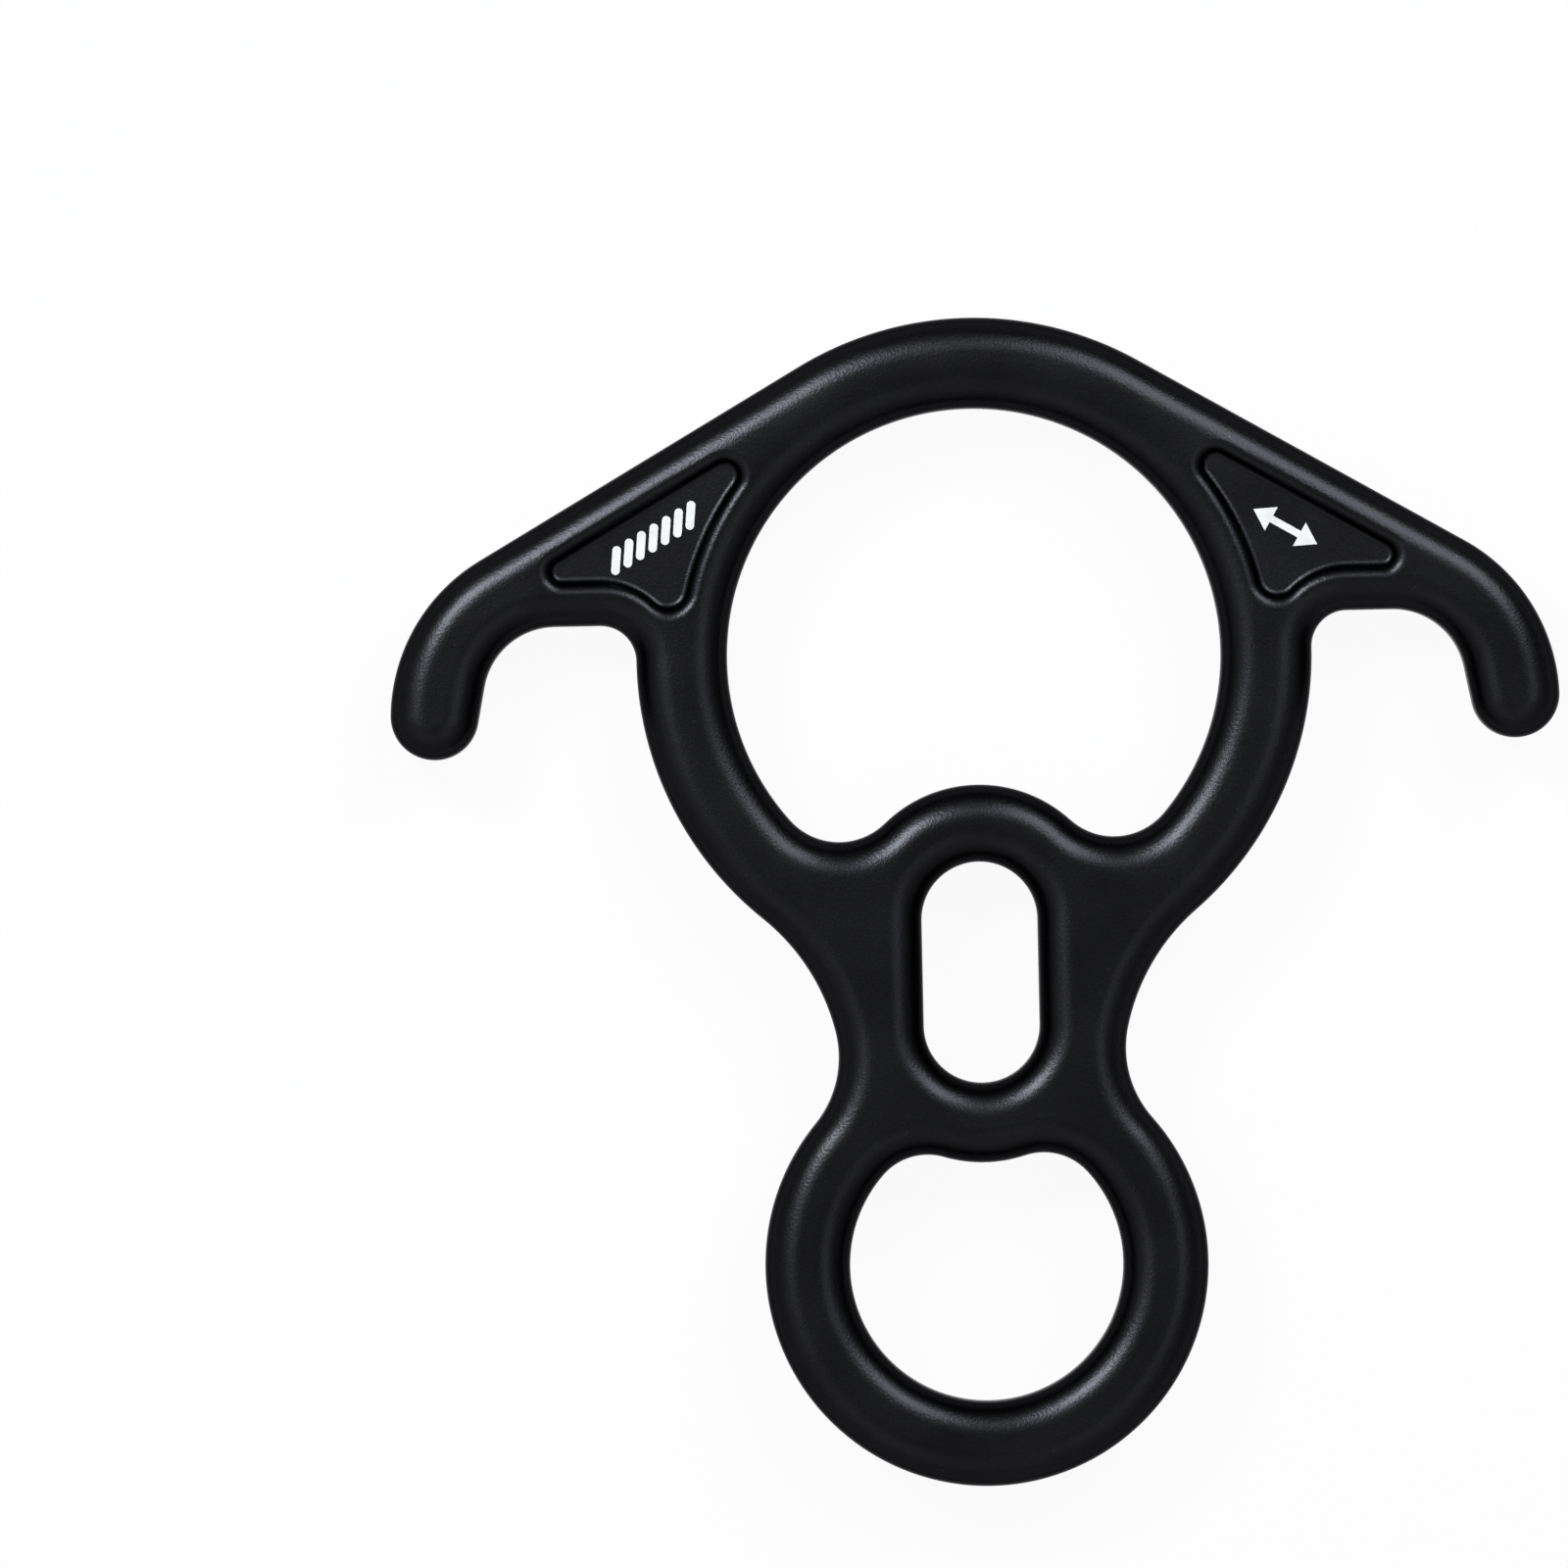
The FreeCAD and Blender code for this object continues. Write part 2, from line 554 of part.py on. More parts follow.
def make_left_ear_print():
    """A row of slanted strokes, like the lay of a rope."""
    body = new_body("left_ear_print")
    body.AllowCompound = True
    length = "(Sizes.lay_length_share * Recess.Constraints.run)"
    width = f"(Sizes.strand_width_share * {length})"
    straight = f"(Sizes.strand_length_share * {length} - {width})"
    run = f"({length} - {width} - {straight} * cos(Sizes.strand_slant))"

    sketch = new_sketch(body, "Strand")
    along = polar(worked_out(straight) / 2, worked_out("Sizes.strand_slant"))
    across = Vector(-along.y, along.x, 0).normalize() * (worked_out(width) / 2)
    strand = Profile(sketch, along - across)
    high_end = strand.arc(along, along + across, clockwise=False)
    long_side = strand.line(across - along)
    low_end = strand.arc(-along, -along - across, clockwise=False)
    strand.line(along - across)
    strand.close()
    fix(sketch, "Symmetric", high_end, CENTRE, low_end, CENTRE, *ORIGIN)
    fix(sketch, "Equal", high_end, low_end)
    drive(sketch, "radius", f"{width} / 2", "Radius", high_end)
    drive(sketch, "straight", straight, "Distance", long_side)
    drive(sketch, "slant", "Sizes.strand_slant", "Angle", HORIZONTAL_AXIS, START, long_side, END)
    sketch.setExpression("AttachmentOffset.Base.x", f"-{run} / 2")
    pad = new_pad(body, "StrandInk", sketch, "Sizes.ink_thickness")
    strands = body.newObject("PartDesign::LinearPattern", "Strands")
    strands.Originals = [pad]
    strands.Direction = (origin_feature(body, "X_Axis"), [""])
    strands.setExpression("Length", run)
    strands.setExpression("Occurrences", "Sizes.strand_count")
    body.Tip = strands
    lay_in_recess(body, -1, "Sizes.lay_top_share", "Sizes.lay_outer_share")
    return body


def make_right_ear_print():
    """A plain arrow with a head at each end."""
    body = new_body("right_ear_print")
    length = "(Sizes.arrow_length_share * Recess.Constraints.run)"
    head_length = f"(Sizes.arrow_head_length_share * {length})"
    head_width = f"(Sizes.arrow_head_width_share * {length})"
    shaft = f"(Sizes.arrow_shaft_share * {length})"

    sketch = new_sketch(body, "ArrowQuarter")
    tip = Vector(worked_out(length) / 2, 0, 0)
    barb = tip + Vector(-worked_out(head_length), worked_out(head_width) / 2, 0)
    neck = Vector(barb.x, worked_out(shaft) / 2, 0)
    root = Vector(0, neck.y, 0)
    corners = [Vector(), tip, barb, neck, root]
    lines = [
        sketch.addGeometry(Part.LineSegment(begin, end))
        for begin, end in zip(corners, corners[1:] + corners[:1])
    ]
    for line, after in zip(lines, lines[1:] + lines[:1]):
        fix(sketch, "Coincident", line, END, after, START)
    base, slope, back, shaft_side, middle = lines
    fix(sketch, "Coincident", base, START, *ORIGIN)
    for level in (base, shaft_side):
        fix(sketch, "Horizontal", level)
    for upright in (back, middle):
        fix(sketch, "Vertical", upright)
    drive(sketch, "half_length", f"{length} / 2", "Distance", base)
    drive(sketch, "head_length", head_length, "DistanceX", slope, END, slope, START)
    drive(sketch, "half_head", f"{head_width} / 2", "DistanceY", slope, START, slope, END)
    drive(sketch, "half_shaft", f"{shaft} / 2", "Distance", middle)
    pad = new_pad(body, "ArrowInk", sketch, "Sizes.ink_thickness")
    mirror_twice(body, "Arrow", pad, ("YZ_Plane", "XZ_Plane"))
    lay_in_recess(body, 1, "Sizes.arrow_top_share", "Sizes.arrow_outer_share")
    return body


bodies = [make_forged_body(), make_left_ear_print(), make_right_ear_print()]
doc.recompute()
for item in doc.Objects:
    if {"Invalid", "Error"} & set(item.State):
        raise ValueError(f"{item.Label} did not recompute: {item.State}")
for body in bodies:
    if body.Shape.isNull() or not body.Shape.isValid():
        raise ValueError(f"{body.Label} has no valid shape")

os.makedirs("parts", exist_ok=True)
for body in bodies:
    body.Shape.exportStep(f"parts/{body.Label}.step")
    box = body.Shape.BoundBox
    print(
        f"{body.Label}: {len(body.Shape.Solids)} solids, {body.Shape.Volume:.1f} mm3,"
        f" {box.XLength:.2f} x {box.YLength:.2f} x {box.ZLength:.2f} mm"
    )
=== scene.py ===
"""Looks of a rescue figure eight descender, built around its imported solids.

The forged body gets a dense skin drawn from the outline's own lines and arcs, with
fully rounded edges, slightly crowned bars and a sunk recess in each ear. The printed
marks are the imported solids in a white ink. Plan sizes are in millimetres, measured
from the centre of the large ring, and become metres when a mesh is made.
"""

import logging
import math
from dataclasses import dataclass, field
from enum import Enum

import bpy
import numpy as np
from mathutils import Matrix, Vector
from mathutils.geometry import delaunay_2d_cdt


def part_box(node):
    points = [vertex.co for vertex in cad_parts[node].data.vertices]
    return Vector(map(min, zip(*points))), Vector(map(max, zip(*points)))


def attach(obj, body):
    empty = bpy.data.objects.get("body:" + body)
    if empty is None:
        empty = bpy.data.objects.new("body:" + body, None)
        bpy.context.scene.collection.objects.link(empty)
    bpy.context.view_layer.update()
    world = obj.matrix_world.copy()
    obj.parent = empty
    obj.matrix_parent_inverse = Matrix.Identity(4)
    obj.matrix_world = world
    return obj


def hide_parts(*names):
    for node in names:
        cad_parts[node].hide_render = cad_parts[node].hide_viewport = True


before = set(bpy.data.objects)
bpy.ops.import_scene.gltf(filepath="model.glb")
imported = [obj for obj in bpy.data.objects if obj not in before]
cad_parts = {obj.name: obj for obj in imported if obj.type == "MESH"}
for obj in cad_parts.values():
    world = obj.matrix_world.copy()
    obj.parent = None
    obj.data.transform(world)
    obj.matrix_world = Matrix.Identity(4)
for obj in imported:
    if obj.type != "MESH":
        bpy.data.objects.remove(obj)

LOG = logging.getLogger("descender")
MM = 0.001
FORGED_NODE = "forged_body"
BODY_NAME = "root"
RECESS_MASK = "recess_share"
UNIT = (0.0, 1.0)

# In millimetres: the smallest double area of a face, the distance at which points are one,
# the step along an outline where it is tested as a polygon, and the step for a slope.
SLIVER = 1e-5
WELD = 1e-7
INSIDE_SPACING = 0.25
SLOPE_STEP = 0.002
# Keeps the slope finite where the rounding stands upright.
UPRIGHT = 1e-12

Operand = bpy.types.NodeSocket | float | tuple[float, ...]


class Face(Enum):
    """The two broad faces of the forging, as signs of their height."""

    FRONT = 1
    BACK = -1


class InkMark(Enum):
    """The printed marks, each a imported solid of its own."""

    LEFT = "left_ear_print"
    RIGHT = "right_ear_print"


def point(x: float, y: float) -> np.ndarray:
    """A point of the plan."""
    return np.array([x, y], float)


def polar(length: float, angle: float) -> np.ndarray:
    """A plan vector of a given length and heading in radians."""
    return length * point(math.cos(angle), math.sin(angle))


def heading(vector: np.ndarray) -> float:
    """The heading of a plan vector in radians."""
    return math.atan2(vector[1], vector[0])


def length_of(vector: np.ndarray) -> float:
    """The length of a plan vector."""
    return float(np.hypot(vector[0], vector[1]))


def toward(start: np.ndarray, goal: np.ndarray, length: float) -> np.ndarray:
    """The point that lies a length from start on the way to goal."""
    return start + (goal - start) * (length / length_of(goal - start))


def third_corner(
    first: np.ndarray, first_side: float, second: np.ndarray, second_side: float
) -> np.ndarray:
    """The point at given distances from two points.

    Args:
        first: The first point.
        first_side: Distance from the first point.
        second: The second point.
        second_side: Distance from the second point.

    Returns:
        The point, left of the way from first to second.
    """
    base = second - first
    span = length_of(base)
    along = (first_side**2 - second_side**2 + span**2) / (2 * span)
    across = math.sqrt(first_side**2 - along**2)
    step = base / span
    return first + step * along + point(-step[1], step[0]) * across


def ease(low: float, high: float, values: np.ndarray) -> np.ndarray:
    """A smooth rise from 0 at low to 1 at high."""
    share = np.clip((values - low) / (high - low), 0, 1)
    return share * share * (3 - 2 * share)


def encloses(corners: np.ndarray, points: np.ndarray) -> np.ndarray:
    """Tells which points lie inside a polygon.

    Args:
        corners: The polygon's corners, in order.
        points: The points to test.

    Returns:
        True for each point that lies inside.
    """
    inside = np.zeros(len(points), bool)
    for (x0, y0), (x1, y1) in zip(corners, np.roll(corners, -1, axis=0)):
        spans = (y0 > points[:, 1]) != (y1 > points[:, 1])
        if spans.any():
            crossing = x0 + (points[spans, 1] - y0) * (x1 - x0) / (y1 - y0)
            inside[spans] ^= points[spans, 0] < crossing
    return inside


@dataclass(frozen=True)
class Line:
    """A straight run of an outline."""

    start: np.ndarray
    end: np.ndarray

    def length(self) -> float:
        """The length of the run."""
        return length_of(self.end - self.start)

    def place(self, shares: np.ndarray) -> tuple[np.ndarray, np.ndarray]:
        """Points of the run and the normals on its left.

        Args:
            shares: Shares of the run's length, from 0 to 1.

        Returns:
            The points and the normals.
        """
        way = (self.end - self.start) / self.length()
        points = self.start + shares[:, None] * (self.end - self.start)
        return points, np.tile(point(-way[1], way[0]), (len(shares), 1))

    def distance(self, points: np.ndarray) -> np.ndarray:
        """How far points lie from the run.

        Args:
            points: The points.

        Returns:
            The distance of each.
        """
        way = self.end - self.start
        share = np.clip((points - self.start) @ way / (way @ way), 0, 1)
        return np.linalg.norm(points - self.start - share[:, None] * way, axis=1)

    def reversed(self) -> "Line":
        """The same run, the other way round."""
        return Line(self.end, self.start)

    def mirrored(self) -> "Line":
        """The run mirrored in the middle line."""
        flip = point(-1, 1)
        return Line(self.start * flip, self.end * flip)


@dataclass(frozen=True)
class Arc:
    """A round run of an outline. A positive turn runs counter-clockwise."""

    centre: np.ndarray
    radius: float
    start: float
    turn: float

    def length(self) -> float:
        """The length of the run."""
        return self.radius * abs(self.turn)

    def place(self, shares: np.ndarray) -> tuple[np.ndarray, np.ndarray]:
        """Points of the run and the normals on its left.

        Args:
            shares: Shares of the run's length, from 0 to 1.

        Returns:
            The points and the normals.
        """
        angles = self.start + shares * self.turn
        rays = np.stack([np.cos(angles), np.sin(angles)], axis=1)
        return self.centre + self.radius * rays, -math.copysign(1, self.turn) * rays

    def distance(self, points: np.ndarray) -> np.ndarray:
        """How far points lie from the run.

        Args:
            points: The points.

        Returns:
            The distance of each.
        """
        arms = points - self.centre
        swing = np.arctan2(arms[:, 1], arms[:, 0]) - self.start
        within = (swing * math.copysign(1, self.turn)) % (2 * math.pi) <= abs(self.turn)
        ends = self.place(np.array([0.0, 1.0]))[0]
        to_ends = np.linalg.norm(points[:, None] - ends, axis=2).min(axis=1)
        return np.where(within, abs(np.linalg.norm(arms, axis=1) - self.radius), to_ends)

    def reversed(self) -> "Arc":
        """The same run, the other way round."""
        return Arc(self.centre, self.radius, self.start + self.turn, -self.turn)

    def mirrored(self) -> "Arc":
        """The run mirrored in the middle line."""
        return Arc(self.centre * point(-1, 1), self.radius, math.pi - self.start, -self.turn)


class Pen:
    """Draws an outline run by run, each from where the last one ended."""

    def __init__(self, start: np.ndarray) -> None:
        """Puts the pen down at start."""
        self.at = start
        self.runs: list[Line | Arc] = []

    def line(self, end: np.ndarray) -> None:
        """Draws a straight run to end."""
        self.runs.append(Line(self.at, end))
        self.at = end

    def arc(self, centre: np.ndarray, end: np.ndarray, clockwise: bool) -> None:
        """Draws a round run.

        Args:
            centre: Centre of the arc.
            end: Where the arc ends.
            clockwise: Whether it turns clockwise.
        """
        start = heading(self.at - centre)
        turn = (heading(end - centre) - start) % (2 * math.pi)
        if clockwise:
            turn -= 2 * math.pi
        self.runs.append(Arc(centre, length_of(end - centre), start, turn))
        self.at = end


@dataclass(frozen=True)
class Contour:
    """A closed outline, drawn with what it encloses or bounds on its left."""

    runs: tuple[Line | Arc, ...]

    def sample(
        self, spacing: float, widest_turn: float = math.radians(5)
    ) -> tuple[np.ndarray, np.ndarray]:
        """Evenly spaced points of the outline.

        Args:
            spacing: Largest step along the outline.
            widest_turn: Largest step round an arc, in radians.

        Returns:
            The points and the normals on their left.
        """
        points, normals = [], []
        for run in self.runs:
            count = math.ceil(run.length() / spacing)
            if isinstance(run, Arc):
                count = max(count, math.ceil(abs(run.turn) / widest_turn))
            spots, sides = run.place(np.arange(count) / count)
            points.append(spots)
            normals.append(sides)
        return np.concatenate(points), np.concatenate(normals)

    def distance(self, points: np.ndarray) -> np.ndarray:
        """The distance of each point from the outline."""
        return np.min([run.distance(points) for run in self.runs], axis=0)

    def encloses(self, points: np.ndarray) -> np.ndarray:
        """Whether each point lies inside the outline."""
        return encloses(self.sample(INSIDE_SPACING)[0], points)

    def reversed(self) -> "Contour":
        """The same outline, drawn the other way round."""
        return Contour(tuple(run.reversed() for run in reversed(self.runs)))

    def mirrored(self) -> "Contour":
        """The outline mirrored in the middle line, with the same side on its left."""
        return Contour(tuple(run.mirrored().reversed() for run in reversed(self.runs)))


@dataclass(frozen=True)
class EdgeRounding:
    """The rounding of every edge and the slight crown of the ring's bars beside it."""

    radius: float = 4.5
    crown_slope: float = 0.07
    crown_reach: float = 6.5

    def drop(self, depth: np.ndarray) -> np.ndarray:
        """How far the rounding lies below the face at a depth from the wall."""
        short = np.clip(self.radius - depth, 0, self.radius)
        return self.radius - np.sqrt(self.radius**2 - short**2)

    def crown(self, depth: np.ndarray) -> np.ndarray:
        """How far the crown lies below its own top.

        Args:
            depth: Depths from the wall.

        Returns:
            The crown's drop at each.
        """
        run_out = self.crown_reach - self.radius
        beyond = np.clip(self.crown_reach - depth, 0, run_out)
        within = np.clip(depth, 0, self.radius)
        outer_part = self.crown_slope * beyond**2 / (2 * run_out)
        inner_part = self.crown_slope * (self.radius**3 - within**3) / (3 * self.radius**2)
        return outer_part + inner_part

    def depths(self, last: float, steps: int) -> np.ndarray:
        """Depths from the wall at even steps round the rounding.

        Args:
            last: The deepest one.
            steps: How many steps to take.

        Returns:
            The depths, starting at the wall.
        """
        widest = math.acos(1 - last / self.radius)
        return self.radius * (1 - np.cos(np.linspace(0, widest, steps + 1)))


@dataclass(frozen=True)
class RecessWall:
    """The section of the recess: a soft rim, a steep wall and a small rounded foot."""

    depth: float = 1.6
    tilt: float = math.radians(62)
    rim_radius: float = 1.86
    foot_radius: float = 1.0

    def reach(self, radius: float) -> float:
        """How far a rounding of the wall reaches from the sharp corner it replaces."""
        return radius * math.tan(self.tilt / 2)

    def first(self) -> float:
        """Where the rim starts, measured inward from its sharp corner."""
        return -self.reach(self.rim_radius)

    def last(self) -> float:
        """Where the foot ends, measured inward from the rim's sharp corner."""
        return self.depth / math.tan(self.tilt) + self.reach(self.foot_radius)

    def drop(self, inset: np.ndarray) -> np.ndarray:
        """How deep the recess is.

        Args:
            inset: Distances inward from the rim's sharp corner.

        Returns:
            The recess's depth at each.
        """
        rim, foot = self.rim_radius, self.foot_radius
        rim_run, foot_run = rim * math.sin(self.tilt), foot * math.sin(self.tilt)
        start, end = self.first() + rim_run, self.last() - foot_run
        on_rim = np.clip(inset - self.first(), 0, rim_run)
        on_foot = np.clip(self.last() - inset, 0, foot_run)
        rim_drop = rim - np.sqrt(rim**2 - on_rim**2)
        foot_drop = self.depth - foot + np.sqrt(foot**2 - on_foot**2)
        wall_drop = np.clip(inset, 0, None) * math.tan(self.tilt)
        rounded = np.where(inset < (start + end) / 2, rim_drop, foot_drop)
        return np.where((inset > start) & (inset < end), wall_drop, rounded)

    def insets(self, steps: int) -> np.ndarray:
        """Distances inward at which the wall's rings of points stand.

        Args:
            steps: Steps round the rim, and again round the foot.

        Returns:
            The distances, from the rim's start to the foot's end.
        """
        angles = np.linspace(0, self.tilt, steps + 1)
        rim = self.first() + self.rim_radius * np.sin(angles)
        foot = self.last() - self.foot_radius * np.sin(angles)
        return np.concatenate([rim, foot[::-1]])


@dataclass
class SkinMesh:
    """Points, normals and faces of a mesh in the making."""

    places: list[np.ndarray] = field(default_factory=list)
    normals: list[np.ndarray] = field(default_factory=list)
    recessed: list[np.ndarray] = field(default_factory=list)
    faces: list[np.ndarray] = field(default_factory=list)
    count: int = 0

    def add(
        self, places: np.ndarray, normals: np.ndarray, recessed: np.ndarray | None = None
    ) -> np.ndarray:
        """Adds points.

        Args:
            places: Their places in millimetres.
            normals: Their normals.
            recessed: How far each is down into a recess, from 0 to 1, or None for not at all.

        Returns:
            The points' numbers in the mesh.
        """
        self.places.append(places)
        self.normals.append(normals)
        self.recessed.append(np.zeros(len(places)) if recessed is None else recessed)
        numbers = np.arange(self.count, self.count + len(places))
        self.count += len(places)
        return numbers

    def band(self, first: np.ndarray, second: np.ndarray) -> None:
        """Adds the faces between two closed rings of points, the second on the first's left."""
        first_next, second_next = np.roll(first, -1), np.roll(second, -1)
        self.faces.append(np.stack([first, first_next, second_next, second], axis=1))

    def finish(self, name: str, offset: Vector) -> bpy.types.Object:
        """Makes the object.

        Args:
            name: Its name.
            offset: Where the plan's origin goes, in metres.

        Returns:
            The object, smooth shaded with the given normals.
        """
        places = np.concatenate(self.places) * MM + np.array(offset)
        normals = np.concatenate(self.normals)
        faces = [tuple(int(number) for number in row) for block in self.faces for row in block]
        mesh = bpy.data.meshes.new(name)
        mesh.from_pydata([tuple(place) for place in places], [], faces)
        mesh.validate()
        mask = mesh.attributes.new(RECESS_MASK, "FLOAT", "POINT")
        mask.data.foreach_set("value", np.concatenate(self.recessed).astype(np.float32))
        mesh.polygons.foreach_set("use_smooth", [True] * len(mesh.polygons))
        mesh.normals_split_custom_set_from_vertices([tuple(normal) for normal in normals])
        mesh.update()
        piece = bpy.data.objects.new(name, mesh)
        bpy.context.scene.collection.objects.link(piece)
        return piece


@dataclass(frozen=True)
class EarPlan:
    """Centres and tangent points of the right ear's outline."""

    ring_radius: float
    gap_height: float = 4.8
    gap_corner_radius: float = 4.65
    gap_straight: float = 5.8
    hook_radius: float = 9.3
    finger_straight: float = 4.8
    finger_radius: float = 5.65
    finger_drop: float = 6.35
    shoulder_radius: float = 23.6
    shoulder_tilt: float = math.radians(2)

    def corner(self) -> np.ndarray:
        """Centre of the gap's inner corner, beside the ring."""
        rise = self.gap_height - self.gap_corner_radius
        return point(math.sqrt((self.ring_radius + self.gap_corner_radius) ** 2 - rise**2), rise)

    def hook(self) -> np.ndarray:
        """Centre of the hook's inner curve."""
        return self.corner() + point(self.gap_straight, self.gap_corner_radius - self.hook_radius)

    def finger(self) -> np.ndarray:
        """Centre of the finger's round end."""
        hook = self.hook()
        reach = math.hypot(self.hook_radius + self.finger_radius, self.finger_straight)
        fall = hook[1] + self.finger_drop
        return hook + point(math.sqrt(reach**2 - fall**2), -fall)

    def across(self) -> np.ndarray:
        """Direction from the hook's centre square to the finger's inner side."""
        way = self.finger() - self.hook()
        lean = math.acos((self.hook_radius + self.finger_radius) / length_of(way))
        return polar(1, heading(way) + lean)

    def shoulder(self) -> np.ndarray:
        """Centre of the ear's outer curve."""
        return self.finger() - polar(self.shoulder_radius - self.finger_radius, self.shoulder_tilt)

    def upward(self) -> np.ndarray:
        """Direction from the ring's centre square to the ear's long edge."""
        shoulder = self.shoulder()
        turn = math.acos((self.ring_radius - self.shoulder_radius) / length_of(shoulder))
        return polar(1, heading(shoulder) + turn)

    def draw(self, pen: Pen) -> None:
        """Draws the ear clockwise, from the ring's top round to the ring's side.

        Args:
            pen: The pen, at the ring's top.
        """
        ring, corner, hook, across = point(0, 0), self.corner(), self.hook(), self.across()
        shoulder, finger = self.shoulder(), self.finger()
        gap_start = corner + point(0, self.gap_corner_radius)
        pen.arc(ring, self.upward() * self.ring_radius, clockwise=True)
        pen.line(shoulder + self.upward() * self.shoulder_radius)
        pen.arc(shoulder, toward(shoulder, finger, self.shoulder_radius), clockwise=True)
        pen.arc(finger, finger - across * self.finger_radius, clockwise=True)
        pen.line(hook + across * self.hook_radius)
        pen.arc(hook, gap_start + point(self.gap_straight, 0), clockwise=False)
        pen.line(gap_start)
        pen.arc(corner, toward(ring, corner, self.ring_radius), clockwise=False)


@dataclass(frozen=True)
class ForgedBody:
    """The forging: large ring, stop slot, carabiner eye and two hooked ears."""

    thickness: float
    ring_radius: float = 43.35
    rope_hole_radius: float = 31.7
    rope_lobe_radius: float = 8.4
    slot_radius: float = 7.45
    slot_straight: float = 13.5
    saddle_bar: float = 9.9
    saddle_rise: float = 15.1
    neck_bar: float = 11.0
    waist_radius: float = 13.5
    waist_turn: float = math.radians(12.9)
    bridge_bar: float = 10.2
    bridge_rise: float = 4.45
    eye_hole_radius: float = 17.55
    eye_lobe_radius: float = 7.54
    eye_ring_bar: float = 10.9
    recess_edge_margin: float = 4.65
    recess_gap_margin: float = 4.94
    recess_hole_margin: float = 5.33
    recess_top_radius: float = 2.4
    recess_outer_radius: float = 2.1
    recess_low_radius: float = 3.2
    spacing: float = 0.7
    recess_spacing: float = 0.4
    fill_spacing: float = 0.6
    ring_depth: float = 3.3
    ring_steps: int = 14
    wall_steps: int = 6
    recess_steps: int = 6
    rounding: EdgeRounding = EdgeRounding()
    recess_wall: RecessWall = RecessWall()

    def ear(self) -> EarPlan:
        """The plan of the right ear."""
        return EarPlan(self.ring_radius)

    def slot_top(self) -> np.ndarray:
        """Centre of the slot's upper end."""
        saddle_low = self.saddle_rise - self.rope_hole_radius - self.slot_radius
        return point(0, saddle_low - self.saddle_bar)

    def slot_low(self) -> np.ndarray:
        """Centre of the slot's lower end."""
        return self.slot_top() - point(0, self.slot_straight)

    def eye(self) -> np.ndarray:
        """Centre of the eye."""
        bridge = self.slot_radius + self.bridge_bar
        return self.slot_low() - point(0, bridge + self.eye_hole_radius - self.bridge_rise)

    def outline(self) -> Contour:
        """Draws the outer edge: its right half, and the mirrored left half before it.

        Returns:
            The edge, with the metal on its left.
        """
        eye_ring = self.eye_hole_radius + self.eye_ring_bar
        ring, eye, small = point(0, 0), self.eye(), self.waist_radius
        side = self.slot_radius + self.neck_bar + small
        lower = eye + point(side, math.sqrt((eye_ring + small) ** 2 - side**2))
        out = polar(1, -self.waist_turn)
        rest = lower @ lower - 2 * small * (lower @ out) + small**2 - self.ring_radius**2
        large = rest / (2 * (self.ring_radius + small - lower @ out))
        upper = lower + out * (large - small)
        pen = Pen(point(0, self.ring_radius))
        self.ear().draw(pen)
        pen.arc(ring, toward(ring, upper, self.ring_radius), clockwise=True)
        pen.arc(upper, lower - out * small, clockwise=False)
        pen.arc(lower, toward(eye, lower, eye_ring), clockwise=False)
        pen.arc(eye, eye - point(0, eye_ring), clockwise=True)
        left = [run.mirrored() for run in pen.runs]
        return Contour(tuple(left + [run.reversed() for run in reversed(pen.runs)]))

    @staticmethod
    def bulged_hole(
        centre: np.ndarray, radius: float, lobe: float, bulge: np.ndarray, bulge_radius: float
    ) -> Contour:
        """A round hole on the middle line that a round bulge enters from below.

        Args:
            centre: Centre of the hole.
            radius: Its radius.
            lobe: Radius of the lobe on each side of the bulge.
            bulge: Centre of the bulge.
            bulge_radius: Radius of the bulge.

        Returns:
            The hole's edge, with the metal on its left.
        """
        right = third_corner(centre, radius - lobe, bulge, bulge_radius + lobe)
        left = right * point(-1, 1)
        pen = Pen(toward(centre, left, radius))
        pen.arc(centre, toward(centre, right, radius), clockwise=True)
        pen.arc(right, toward(bulge, right, bulge_radius), clockwise=True)
        pen.arc(bulge, toward(bulge, left, bulge_radius), clockwise=False)
        pen.arc(left, toward(centre, left, radius), clockwise=True)
        return Contour(tuple(pen.runs))

    def rope_hole(self) -> Contour:
        """Draws the large opening.

        Returns:
            The opening's edge, with the metal on its left.
        """
        radius, lobe = self.rope_hole_radius, self.rope_lobe_radius
        saddle = self.slot_radius + self.saddle_bar
        return self.bulged_hole(point(0, 0), radius, lobe, self.slot_top(), saddle)

    def eye_hole(self) -> Contour:
        """Draws the eye: a bulged hole, drawn upside down and turned over.

        Returns:
            The eye's edge, with the metal on its left.
        """
        radius, lobe, eye = self.eye_hole_radius, self.eye_lobe_radius, self.eye()
        bridge = self.slot_radius + self.bridge_bar
        upturned = -(self.slot_low() - eye)
        hole = self.bulged_hole(point(0, 0), radius, lobe, upturned, bridge)
        turned = [
            Arc(eye - run.centre, run.radius, run.start + math.pi, run.turn) for run in hole.runs
        ]
        return Contour(tuple(turned))

    def slot(self) -> Contour:
        """Draws the stop slot.

        Returns:
            The slot's edge, with the metal on its left.
        """
        top, low, half = self.slot_top(), self.slot_low(), point(self.slot_radius, 0)
        pen = Pen(top - half)
        pen.arc(top, top + half, clockwise=True)
        pen.line(low + half)
        pen.arc(low, low - half, clockwise=True)
        pen.line(top - half)
        return Contour(tuple(pen.runs))

